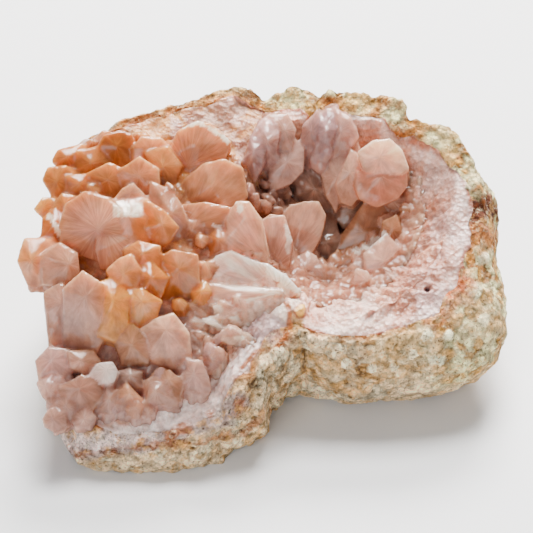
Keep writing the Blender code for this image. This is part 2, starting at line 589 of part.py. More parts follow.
def lumpy(item, tris):
    """Knobs on the outside, then a lighter mesh."""
    for name, size, strength in KNOBS:
        texture = bpy.data.textures.new(name, "VORONOI")
        texture.noise_scale = size * MM
        texture.distance_metric = "DISTANCE"
        step = item.modifiers.new(name, "DISPLACE")
        step.texture = texture
        step.texture_coords = "LOCAL"
        step.strength = strength * MM
        step.mid_level = KNOB_MIDDLE
    step = item.modifiers.new("thin", "DECIMATE")
    step.ratio = tris / sum(len(face.vertices) - 2 for face in item.data.polygons)
    apply_modifiers(item)


def bodies_of(work):
    """The separate bodies of a mesh, each as a set of its corners, smallest first."""
    left = set(work.verts)
    bodies = []
    while left:
        body = {left.pop()}
        edge = set(body)
        while edge:
            edge = {e.other_vert(v) for v in edge for e in v.link_edges} - body
            body |= edge
        left -= body
        bodies.append(body)
    return sorted(bodies, key=len)


def keep_largest(item):
    """Drops loose chips left by the cuts."""
    work = bmesh.new()
    work.from_mesh(item.data)
    loose = [vert for body in bodies_of(work)[:-1] for vert in body]
    bmesh.ops.delete(work, geom=loose, context="VERTS")
    work.to_mesh(item.data)
    work.free()


def finish(item, name, group, smooth):
    keep_largest(item)
    item.name = name
    item.data.name = name
    item.data.materials.clear()
    item.data.materials.append(material_for(name))
    for face in item.data.polygons:
        face.use_smooth = smooth
    for old in list(item.users_collection):
        old.objects.unlink(item)
    group.objects.link(item)


def make_rind(above, cutters):
    rind = swept_body("rind", False, 0.0, cutters)
    lumpy(rind, RIND_TRIS)
    floor = block_over_plan("below_floor", floor_level, BELOW_ALL, FLAT_CELLS, cutters)
    cut(rind, floor, "DIFFERENCE")
    cut(rind, above, "DIFFERENCE")
    cut(rind, swept_body("rind_inside", True, 0.0, cutters), "DIFFERENCE")
    return rind


def make_cluster(below, cutters):
    cluster = joined_crystals("cluster", CLUSTER, seat_height, cutters)
    swell = lens_on_face("swell", CLUSTER_FOOT, CLUSTER_REACH, mound_lift, cutters)
    cut(cluster, swell, "UNION")
    cut(cluster, below, "DIFFERENCE")
    return cluster


def make_crust(below, cluster, cutters):
    crust = joined_crystals("hollow", HOLLOW_CRYSTALS, face_height, cutters)
    reach = [SKIN_REACH * r for r in (REACH_RIGHT, REACH_LEFT, REACH_BACK, REACH_FRONT)]
    cut(crust, lens_on_face("skin", HOLLOW, reach, crust_lift, cutters), "UNION")
    cut(crust, grown(cluster, ROOM, cutters), "DIFFERENCE")
    cut(crust, below, "DIFFERENCE")
    return crust


def build():
    clear_scene()
    made = new_collection(OBJECT_NAME, False)
    cutters = new_collection("cutters", True)

    above = block_over_plan("above_face", face_height, ABOVE_ALL, FACE_CELLS, cutters)
    below = block_over_plan("below_face", below_face, BELOW_ALL, FACE_CELLS, cutters)
    rind = make_rind(above, cutters)
    wall = swept_body("quartz_wall", True, GAP, cutters)
    cut(wall, above, "DIFFERENCE")
    cluster = make_cluster(below, cutters)
    crust = make_crust(below, cluster, cutters)

    finish(rind, "rind", made, True)
    finish(wall, "quartz_wall", made, True)
    finish(cluster, "crystal_cluster", made, False)
    finish(crust, "hollow_crystals", made, False)
    for item in cutters.objects:
        item.hide_render = True
        item.display_type = "WIRE"


build()
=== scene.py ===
"""Amethyst geode on a pale floor: knobbly rind, fibrous quartz wall, crystal mound and hollow.

+X right, +Y back, +Z up.  The lists are in millimetres, and mesh_piece turns them into metres.
The sight frame has u to the right, v up and w out of a plane that faces the camera, where the
corners of the crystals are placed.  Colours from 0 to 255 are as seen, and deep() readies them for
the shader.
"""
import math

import bmesh
import bpy
import numpy as np
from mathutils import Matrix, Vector


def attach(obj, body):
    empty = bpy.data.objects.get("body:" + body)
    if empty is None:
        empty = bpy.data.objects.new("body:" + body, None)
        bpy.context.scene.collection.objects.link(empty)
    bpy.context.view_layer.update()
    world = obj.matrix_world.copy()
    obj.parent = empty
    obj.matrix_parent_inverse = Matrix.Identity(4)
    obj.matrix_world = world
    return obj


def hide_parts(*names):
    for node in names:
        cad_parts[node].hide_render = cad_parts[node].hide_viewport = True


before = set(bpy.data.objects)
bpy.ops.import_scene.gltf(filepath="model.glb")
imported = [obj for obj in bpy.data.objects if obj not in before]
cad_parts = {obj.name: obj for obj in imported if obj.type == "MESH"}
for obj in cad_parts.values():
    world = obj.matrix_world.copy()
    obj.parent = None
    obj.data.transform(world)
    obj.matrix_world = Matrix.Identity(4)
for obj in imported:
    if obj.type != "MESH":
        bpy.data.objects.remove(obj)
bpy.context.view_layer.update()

MM = 0.001
FULL = 2.0 * math.pi

# The camera looks down by SIGHT at a place SIGHT_HEIGHT over the floor.
SIGHT = math.radians(40.0)
SIGHT_HEIGHT = 22.0
SIN_SIGHT = math.sin(SIGHT)
COS_SIGHT = math.cos(SIGHT)
CAMERA_AWAY = 0.9
SENSOR = 36.0
PICTURE_SIDE = 533.0
PIXELS_PER_MM = 4.6

# Outline of the stone: corners x, y, z of its upper edge and of its widest line.
PLAN_CENTRE = (2.0, -3.0)
RIM = [
    (-7, 36, 43.6), (0, 32.6, 42.6), (8.3, 36, 43.6), (11, 33, 42.4), (17, 35, 43.2),
    (24, 33.4, 42.6), (29, 32.4, 42.2), (31.6, 28, 40.8), (39.6, 25.4, 39.4), (45.4, 18.2, 36.8),
    (47, 8.6, 33.4), (46.6, 1.9, 31), (45.4, -4.5, 28.4), (42.8, -9.9, 26.4),
    (39.6, -15.3, 24.4), (36, -19.3, 23), (30, -22.2, 22), (24, -23.3, 21.6), (16, -24.2, 21.2),
    (11, -24.3, 21), (6.6, -21.3, 22.2), (4.2, -23.6, 21.4), (1, -27.2, 20), (-2, -30.5, 18.8),
    (-4, -34, 16.5), (-7, -37.3, 12.8), (-13, -40.6, 8.8), (-25, -41.8, 7.7), (-36, -41, 5.3),
    (-39.6, -39, 4.5), (-42.6, -34, 6), (-45.4, -27, 9), (-46, -20, 14), (-45, -9, 20),
    (-44.5, 3, 25), (-44, 14, 30), (-41, 22, 35.5), (-34, 26.6, 38.5), (-25, 30, 40.6),
    (-16, 32.8, 42.4), (-10, 35, 43.4),
]
BELLY = [
    (52, -12.5, 15), (51.2, -16.6, 14.5), (46.4, -21.6, 14), (41.4, -24, 14), (30, -25.6, 14),
    (20, -26.2, 14), (13, -24.2, 15), (8.4, -21.4, 16), (4.5, -25, 14.6), (0, -28.8, 13),
    (-1.2, -35.4, 9.5), (-6.6, -38, 7), (-13.8, -40.4, 5), (-25, -42.2, 3.4), (-36, -42.4, 2.4),
    (-40, -40.8, 2), (-42.4, -37, 2.4), (-44.6, -31, 5.5), (-47.6, -25, 8), (-46.4, -14, 12),
    (-46, -3, 16), (-45.5, 8, 19), (-44.3, 18, 22), (-38, 26, 24), (-26, 32, 25),
    (-10, 36, 26), (10, 36, 26), (28, 32.6, 24), (40, 26, 22), (46.5, 19, 22),
    (50.6, 14, 22), (49.8, 8.6, 20), (49.8, 2.8, 18), (51.4, -5.3, 16),
]
# The foot is a share of the widest line, larger where the front hangs less over.
FOOT_SHARE = 0.58
FOOT_FRONT_SHARE = 0.97
FRONT_FROM = math.radians(-150.0)
FRONT_TO = math.radians(-95.0)
FRONT_FADE = math.radians(15.0)
# Steps of the profile: foot, widest line and upper edge, and how many lie between them.
FOOT_STEP = 0.2
BELLY_STEP = 0.45
RIM_STEP = 0.7
SIDE_STEPS = 0.25
TOP_STEPS = 0.3
SHOULDER = math.radians(32.0)
DOME = 45.0
LEAST_RISE = 1.0
# Thickness of the rind at places of the upper edge, at the widest line and below.
RIND_AT_RIM = [
    (46, 8, 2.6), (44, 18, 4.6), (31, 28, 4.6), (17, 33, 5.2), (8, 34, 5.4), (-7, 36, 2.0),
    (-25, 28, 1.7), (-44, 14, 1.8), (-46, -20, 2.0), (-41, -39, 2.2), (-25, -42, 2.6),
    (-13, -40.6, 4.0), (-7, -37, 6.0), (-1, -29, 6.6), (2, -26, 5.0), (5, -23, 3.4),
    (16, -24, 2.2), (36, -19, 2.2),
]
RIND_AT_BELLY = 5.5
RIND_BELOW = 5.0
# The broken face: heights and slopes of its main part, its left front and its left side.
FACE_HEIGHT = 30.1
FACE_SLOPE = 0.37
FRONT_HEIGHT = 8.2
FRONT_Y = -42.0
FRONT_SLOPE = 0.62
LEFT_X = -43.5
LEFT_SLOPE = 1.3
SPLIT_X = -2.0
SPLIT_WIDTH = 8.0
SPLIT_RISE = 12.0
BROAD_WAVE = 0.35
BROAD_PITCH = (0.7, 0.6)
BROAD_START = 1.3
LONG_WAVE = 0.25
LONG_PITCH = (0.31, 0.45)
# The hollow: place of its floor, reach to the right, left, back and front, and depth.
HOLLOW = (13.0, 15.5)
HOLLOW_REACH = (28.0, 17.0, 13.0, 34.0)
HOLLOW_DEPTH = 23.0
HOLLOW_EDGE = 1.04
HOLLOW_FLAT = 0.22
# Swell under the large crystals: centre and reach on the plan, height.
MOUND = (-27.0, 2.0, 19.0, 23.0, 4.0)
# Place and reach of the body that the large crystals stand in, the share of the hollow's reach
# that its crust covers, and how far both lie over the face.
MOUND_FOOT = (-25.0, -6.0)
MOUND_REACH = (15.5, 20.5, 31.0, 29.0)
CRUST_SHARE = 0.8
CRUST = 1.0
# How far the wall is sunk in under the body of the mound.
UNDER_MOUND = 0.8

PEACH = (212, 162, 128)
PALE = (216, 174, 154)
MAUVE = (194, 158, 144)
AMBER = (196, 122, 46)
ORANGE = (206, 148, 92)
GOLD = (220, 166, 98)
BROWN = (180, 134, 104)
SMOKE = (142, 116, 106)
ROSE = (202, 164, 150)
LILAC = (178, 148, 148)
# Crystals of the mound: tip (u, v), rise over the seat, steepness of the point, lean (u, v),
# corners (u, v), colour, and for a few the planes of the point by turn and share of steepness.
CLUSTER = [
    ((-35.9, 8.0), 9.6, 0.55, (-0.1, 0.05), [(-43.8, 8.4), (-42.5, 12.9), (-38.8, 15.3),
     (-34.5, 14.2), (-31.4, 11.4), (-31.0, 7.5), (-35.3, 4.5), (-36.6, 2.1), (-40.5, 3.2),
     (-43.4, 5.5)], PALE, [(105, 0.9), (185, 0.8), (-60, 1.0), (-125, 1.3), (20, 0.5)]),
    ((-29.6, 10.9), 9.8, 0.5, (0.1, 0.1), [(-34.7, 9.7), (-33.4, 13.6), (-25.8, 14.0),
     (-24.7, 10.1), (-24.7, 6.2), (-27.9, 4.9), (-32.7, 5.8)], PALE, [(88, 2.6), (-90, 0.35),
     (0, 0.6), (180, 0.3)]),
    ((-34.2, 4.2), 8.6, 0.6, (0.0, 0.1), [(-35.8, 6.2), (-29.7, 5.8), (-30.5, 2.3), (-32.3, -0.1),
     (-35.3, -0.3), (-36.2, 3.2)], ROSE),
    ((-32.6, 26.0), 7.4, 0.45, (0.0, 0.3), [(-36.4, 25.6), (-35.0, 28.2), (-32.0, 29.2),
     (-29.6, 28.4), (-28.3, 25.6), (-29.4, 22.4), (-31.8, 20.4), (-35.4, 20.8)], AMBER),
    ((-36.6, 27.4), 3.5, 0.6, (0.0, 0.4), [(-40.4, 25.6), (-37.6, 27.4), (-35.6, 29.6),
     (-33.4, 29.0), (-33.0, 24.0), (-38.0, 23.0)], ROSE),
    ((-43.4, 23.8), 6.0, 0.7, (-0.3, 0.3), [(-46.4, 23.0), (-45.1, 25.3), (-40.4, 26.5),
     (-39.2, 24.8), (-40.2, 21.8), (-44.6, 21.0)], ORANGE),
    ((-38.0, 22.4), 6.2, 0.6, (-0.1, 0.3), [(-41.0, 24.8), (-36.4, 26.0), (-34.2, 22.6),
     (-35.6, 19.0), (-40.0, 19.2), (-41.8, 21.6)], ORANGE),
    ((-45.4, 18.4), 7.0, 0.7, (-0.4, 0.15), [(-48.2, 18.6), (-47.1, 21.2), (-43.6, 21.6),
     (-42.0, 19.6), (-41.8, 15.6), (-46.0, 14.8)], GOLD),
    ((-40.4, 17.8), 7.2, 0.7, (-0.2, 0.15), [(-43.1, 19.5), (-38.7, 19.8), (-37.0, 17.4),
     (-39.4, 14.8), (-42.9, 15.6)], ORANGE),
    ((-34.2, 18.6), 6.2, 0.55, (0.0, 0.25), [(-39.0, 19.6), (-34.0, 22.2), (-30.8, 20.6),
     (-30.4, 16.0), (-33.0, 13.6), (-38.6, 14.6)], ORANGE),
    ((-48.2, 12.8), 6.0, 0.7, (-0.6, 0.1), [(-50.1, 12.4), (-48.2, 14.8), (-45.6, 14.6),
     (-45.2, 11.4), (-47.8, 10.0)], GOLD),
    ((-45.8, 8.6), 7.0, 0.7, (-0.35, 0.1), [(-48.4, 6.4), (-48.0, 10.4), (-45.4, 12.6),
     (-42.4, 12.2), (-43.4, 6.8), (-46.0, 4.6)], AMBER),
    ((-43.6, 13.4), 7.0, 0.6, (-0.2, 0.2), [(-46.0, 13.0), (-44.2, 15.6), (-41.6, 15.2),
     (-41.0, 12.0), (-43.8, 11.0)], ORANGE),
    ((-50.2, 1.2), 8.6, 0.7, (-0.5, 0.0), [(-53.0, 1.0), (-51.8, 5.6), (-47.6, 5.4), (-45.6, 1.2),
     (-47.4, -5.2), (-50.8, -4.6)], PEACH),
    ((-42.0, 0.6), 9.4, 0.6, (0.15, 0.05), [(-47.6, 2.2), (-44.2, 4.6), (-40.6, 2.6),
     (-40.2, -1.4), (-43.0, -3.8), (-47.6, -3.6)], ROSE),
    ((-43.2, -7.6), 7.0, 0.5, (-0.25, 0.3), [(-47.2, -6.0), (-43.6, -4.0), (-40.6, -8.0),
     (-40.4, -16.0), (-43.0, -18.4), (-46.2, -17.0), (-46.4, -10.0)], MAUVE),
    ((-38.2, -6.4), 11.5, 0.62, (0.05, 0.35), [(-42.6, -5.2), (-38.8, -1.8), (-34.8, -4.4),
     (-34.2, -13.4), (-37.0, -18.9), (-42.6, -17.4)], MAUVE),
    ((-32.4, -7.2), 11.0, 0.62, (0.1, 0.3), [(-35.2, -3.8), (-31.5, -2.6), (-29.4, -6.4),
     (-29.6, -11.6), (-32.2, -15.1), (-35.4, -14.0)], GOLD),
    ((-30.3, -1.6), 11.4, 0.7, (0.05, 0.2), [(-33.6, -0.8), (-31.2, 1.4), (-28.8, 2.4),
     (-26.9, -0.8), (-27.8, -4.8), (-31.4, -5.0)], PEACH),
    ((-26.4, -7.4), 10.0, 0.7, (0.15, 0.15), [(-30.0, -6.0), (-26.4, -5.0), (-22.6, -7.4),
     (-23.8, -11.4), (-27.1, -12.6), (-29.6, -9.4)], GOLD),
    ((-24.4, -2.4), 9.6, 0.7, (0.15, 0.15), [(-27.6, -1.0), (-24.6, 0.8), (-21.0, -2.4),
     (-22.6, -6.4), (-26.6, -6.0)], ORANGE),
    ((-26.4, 2.8), 9.6, 0.6, (0.1, 0.2), [(-30.0, 3.6), (-27.1, 5.2), (-22.8, 4.2), (-23.4, 0.4),
     (-27.1, -0.8), (-29.6, 1.0)], ORANGE),
    ((-18.6, -0.4), 8.2, 0.6, (0.15, 0.3), [(-23.2, 1.2), (-19.8, 2.9), (-15.0, 2.0),
     (-14.6, -3.0), (-16.2, -8.8), (-20.0, -10.4), (-23.0, -7.4)], BROWN),
    ((-22.4, 9.0), 9.6, 0.55, (0.35, 0.05), [(-25.5, 13.6), (-22.1, 11.8), (-19.0, 8.4),
     (-20.5, 5.8), (-23.2, 3.8), (-25.3, 4.2), (-26.0, 7.9)], ORANGE),
    ((-27.5, 19.6), 7.4, 0.38, (0.05, 0.2), [(-31.6, 20.6), (-27.4, 23.4), (-23.6, 21.0),
     (-23.4, 18.0), (-25.4, 15.4), (-30.8, 16.8)], PEACH),
    ((-29.3, 15.6), 8.6, 0.6, (0.0, 0.2), [(-32.4, 14.6), (-31.0, 16.6), (-28.6, 17.8),
     (-26.6, 15.6), (-26.8, 13.4), (-31.0, 12.6)], ROSE),
    ((-20.4, 11.4), 7.4, 0.6, (0.15, 0.3), [(-24.4, 17.6), (-20.2, 15.6), (-18.2, 12.8),
     (-16.9, 9.0), (-17.0, 4.6), (-20.4, 3.6), (-25.0, 9.0)], MAUVE),
    ((-20.4, 16.8), 8.0, 0.9, (0.1, 0.3), [(-21.4, 18.2), (-20.2, 17.6), (-19.4, 15.6),
     (-20.2, 15.2), (-21.4, 16.4)], SMOKE),
    ((-15.6, 26.4), 9.0, 0.5, (0.05, 0.2), [(-21.0, 23.6), (-18.8, 29.0), (-15.2, 30.9),
     (-12.4, 30.4), (-8.4, 26.9), (-9.7, 23.2), (-15.0, 19.6), (-18.8, 17.4)], PEACH),
    ((-22.4, 21.6), 6.0, 0.55, (-0.05, 0.25), [(-26.2, 24.4), (-21.4, 25.8), (-18.6, 22.0),
     (-20.4, 17.6), (-23.6, 18.8)], ORANGE),
    ((-11.8, 17.6), 7.0, 0.4, (0.15, 0.3), [(-18.6, 13.0), (-19.4, 16.2), (-16.4, 19.6),
     (-13.6, 21.9), (-9.6, 22.8), (-5.9, 21.2), (-4.9, 15.6), (-8.4, 12.0)], PEACH),
    ((-13.4, 9.4), 5.2, 0.5, (0.1, 0.2), [(-18.4, 12.8), (-12.8, 13.4), (-7.9, 12.3), (-8.1, 8.6),
     (-11.9, 6.3), (-14.5, 3.8), (-17.2, 5.0)], BROWN),
    ((-4.5, 10.5), 8.4, 0.35, (0.1, 0.2), [(-8.2, 9.7), (-6.2, 13.2), (-3.8, 13.2), (-1.2, 9.7),
     (-0.1, 4.9), (0.3, 0.1), (-2.3, -0.3), (-7.1, 2.5), (-7.9, 5.8)], PALE),
    ((-10.4, 5.9), 5.0, 0.8, (0.2, 0.2), [(-12.2, 6.2), (-10.4, 7.8), (-8.2, 6.2), (-8.8, 3.4),
     (-11.8, 2.8)], AMBER),
    ((-13.9, -5.2), 4.6, 0.8, (0.2, 0.2), [(-15.8, -5.4), (-13.0, -3.2), (-11.8, -5.4),
     (-13.2, -8.2), (-15.2, -7.4)], GOLD),
    ((-21.2, -13.4), 9.0, 0.62, (0.05, 0.35), [(-26.4, -13.6), (-23.0, -11.4), (-19.8, -10.2),
     (-16.9, -14.0), (-16.3, -18.9), (-20.2, -21.3), (-25.4, -18.8)], PALE),
    ((-28.6, -16.6), 6.4, 0.6, (0.0, 0.3), [(-32.2, -15.0), (-28.2, -12.6), (-25.0, -15.4),
     (-25.4, -20.0), (-30.6, -20.4)], BROWN),
    ((-39.2, -20.0), 6.0, 0.7, (-0.1, 0.2), [(-41.8, -18.0), (-37.0, -17.8), (-35.4, -20.0),
     (-38.6, -22.6), (-41.4, -21.2)], BROWN),
    ((-45.6, -19.8), 5.4, 0.5, (-0.3, 0.1), [(-48.8, -20.0), (-46.2, -17.2), (-42.2, -17.8),
     (-41.0, -21.4), (-43.4, -24.2), (-48.2, -23.6)], ROSE),
    ((-46.8, -25.4), 4.2, 0.6, (-0.35, 0.1), [(-48.8, -24.6), (-45.6, -23.4), (-43.4, -25.4),
     (-44.6, -28.4), (-47.4, -27.8)], ROSE),
    ((-33.9, -21.7), 6.4, 0.5, (0.0, 0.3), [(-37.4, -23.0), (-35.6, -20.5), (-32.7, -20.2),
     (-31.7, -22.0), (-32.5, -24.2), (-35.2, -24.6)], (232, 205, 195)),
    ((-39.6, -25.8), 5.0, 0.55, (-0.1, 0.25), [(-43.4, -25.6), (-39.0, -23.2), (-35.8, -24.8),
     (-35.0, -27.4), (-37.0, -30.0), (-42.8, -29.6)], BROWN),
    ((-33.2, -28.0), 4.4, 0.7, (0.0, 0.3), [(-35.4, -29.4), (-33.8, -26.0), (-31.2, -26.4),
     (-31.0, -31.2), (-33.0, -33.8), (-35.6, -32.0)], MAUVE),
    ((-29.0, -26.8), 5.2, 0.75, (0.05, 0.3), [(-31.8, -28.0), (-29.4, -25.2), (-26.0, -28.6),
     (-24.2, -32.2), (-26.2, -34.4), (-30.6, -34.4)], PEACH),
    ((-28.9, -23.0), 4.6, 0.7, (0.0, 0.3), [(-31.6, -22.8), (-29.2, -21.4), (-26.6, -22.4),
     (-26.8, -25.4), (-30.6, -26.0)], SMOKE),
    ((-23.4, -26.4), 5.0, 0.75, (0.1, 0.3), [(-25.2, -28.6), (-24.4, -25.2), (-22.2, -25.0),
     (-19.6, -28.2), (-18.2, -30.6), (-23.0, -32.4)], MAUVE),
    ((-20.8, -24.0), 4.6, 0.7, (0.1, 0.3), [(-24.0, -22.8), (-20.4, -22.0), (-17.8, -24.6),
     (-18.4, -28.6), (-22.0, -26.0)], BROWN),
    ((-15.4, -22.8), 3.8, 0.6, (0.2, 0.3), [(-18.0, -25.4), (-16.8, -20.0), (-13.6, -20.4),
     (-11.8, -25.6), (-12.4, -28.0), (-16.0, -28.4)], ROSE),
    ((-45.0, -32.2), 3.8, 0.45, (-0.3, 0.1), [(-47.2, -32.0), (-45.6, -30.0), (-43.0, -31.0),
     (-42.8, -33.4), (-44.8, -35.0), (-46.9, -33.8)], MAUVE),
    ((-38.6, -32.2), 3.0, 0.7, (-0.1, 0.3), [(-41.0, -31.6), (-38.4, -30.0), (-36.2, -31.6),
     (-37.2, -34.6), (-40.4, -34.4)], ROSE),
    ((-42.4, -29.6), 3.4, 0.7, (-0.2, 0.2), [(-44.6, -29.2), (-42.6, -27.8), (-40.6, -29.6),
     (-41.2, -32.0), (-44.0, -31.6)], MAUVE),
    ((0.8, 8.8), 6.6, 0.4, (0.0, 0.2), [(-1.8, 8.8), (0.8, 10.8), (3.8, 10.3), (3.4, 5.8),
     (1.2, 0.1), (-1.0, 1.0), (-1.6, 4.9)], (204, 162, 144)),
    ((-6.6, -0.3), 3.4, 0.3, (-0.1, 0.1), [(-12.3, -2.9), (-10.3, 1.8), (-7.5, 2.8), (-1.4, 0.3),
     (2.3, -4.0), (-3.2, -6.0), (-9.2, -4.7)], (240, 208, 194)),
    ((-5.8, -6.4), 2.8, 0.25, (-0.1, 0.1), [(-12.7, -3.8), (-9.2, -4.7), (-3.6, -6.0),
     (2.5, -5.1), (3.2, -8.2), (-1.4, -10.5), (-9.2, -10.3), (-12.7, -7.3)], (230, 190, 174)),
    ((2.1, -2.5), 3.0, 0.3, (0.0, 0.1), [(-1.6, 0.5), (0.3, 0.3), (4.2, -2.1), (6.8, -5.1),
     (4.7, -7.3), (1.6, -6.0)], (248, 224, 212)),
    ((-25.2, 25.2), 6.0, 0.45, (0.0, 0.25), [(-28.8, 25.8), (-26.8, 28.0), (-22.8, 27.4),
     (-20.6, 24.0), (-23.0, 20.6), (-28.4, 21.4)], PEACH),
]
# Places of the crystals with a tint of their own: u, v, radius, tint, strength.
GLOWS = [
    (-42.0, 20.5, 9.5, (200, 140, 88), 0.85), (-33.0, 26.5, 5.0, (180, 120, 60), 0.9),
    (-35.0, 19.5, 6.5, (200, 140, 90), 0.75), (-26.0, 8.0, 4.2, (216, 142, 66), 0.85),
    (-46.5, 8.6, 4.4, (194, 130, 74), 0.85), (-51.5, 2.5, 4.0, (216, 156, 96), 0.7),
    (-31.0, -7.0, 6.8, (228, 162, 84), 0.8), (-23.0, -3.5, 6.8, (206, 138, 72), 0.8),
    (-38.0, 10.0, 6.0, (204, 154, 140), 0.6), (-42.0, -9.0, 9.0, (200, 162, 148), 0.75),
    (-37.0, 3.0, 4.5, (196, 142, 126), 0.6), (-45.0, -21.0, 6.0, (210, 172, 162), 0.75),
    (-40.0, -27.0, 6.0, (184, 140, 124), 0.6), (-15.0, 23.0, 6.5, (208, 148, 116), 0.5),
    (-13.0, 10.0, 5.5, (184, 130, 100), 0.5), (-22.0, -17.0, 5.0, (214, 166, 144), 0.6),
    (-28.0, -28.0, 5.0, (198, 148, 118), 0.6), (-14.0, -24.0, 5.0, (206, 168, 156), 0.6),
    (-9.5, 6.0, 2.4, (206, 132, 70), 0.8), (-14.0, -5.5, 2.4, (228, 158, 92), 0.8),
    (-4.8, 6.5, 5.5, (242, 196, 174), 0.95), (25.0, 24.0, 4.2, (240, 196, 172), 0.8),
    (25.0, 16.0, 3.8, (206, 144, 120), 0.8), (5.5, 4.0, 6.5, (206, 164, 148), 0.5),
    (5.0, 27.0, 7.0, (190, 156, 146), 0.5),
]
# White of the painted highlights on the crystals.
HIGHLIGHT_WHITE = (0.94, 0.84, 0.78)
# A painted highlight, a facet shining white: middle and half sizes in the sight frame.
SHINE = (-29.6, 12.1, 3.1, 1.7)
STRIPED = np.array([2.0, 0.6, 0.6])
# Painted highlights, white glints along edges: half width, strength, line (u, v).
GLINT_LINES = [
    (0.5, 0.8, [(-18.0, 30.4), (-14.6, 31.2), (-11.2, 29.4), (-8.6, 27.2)]),
    (0.6, 0.8, [(-46.6, 10.8), (-45.2, 8.8), (-44.6, 6.8)]),
    (0.45, 0.7, [(-11.2, 8.8), (-9.8, 8.0)]),
    (0.4, 0.7, [(-16.4, 4.2), (-14.8, 3.4)]),
    (0.7, 0.7, [(-6.0, 13.6), (-5.4, 12.4)]),
    (0.7, 0.8, [(19.8, 3.2), (22.4, 4.8), (25.6, 7.0)]),
    (0.6, 0.6, [(4.2, 8.6), (5.0, 5.4), (4.6, 3.2)]),
]
# Fibres run out from a place (u, v) in these crystals, by their place in the list.
FANS = {0: (-35.9, 8.0), 2: (-34.6, 8.0), 28: (-17.0, 22.0), 30: (-18.4, 8.0), 31: (-18.4, 8.0),
        32: (0.8, 0.0), 51: (0.8, 0.0), 52: (3.0, -5.6), 53: (3.0, -5.6), 54: (3.0, -5.6)}
HOLLOW_FANS = {9: (2.0, -1.6), 10: (0.8, -1.0)}
# The fans of the septum, which have white veins.
VEINED = (52, 53, 54)
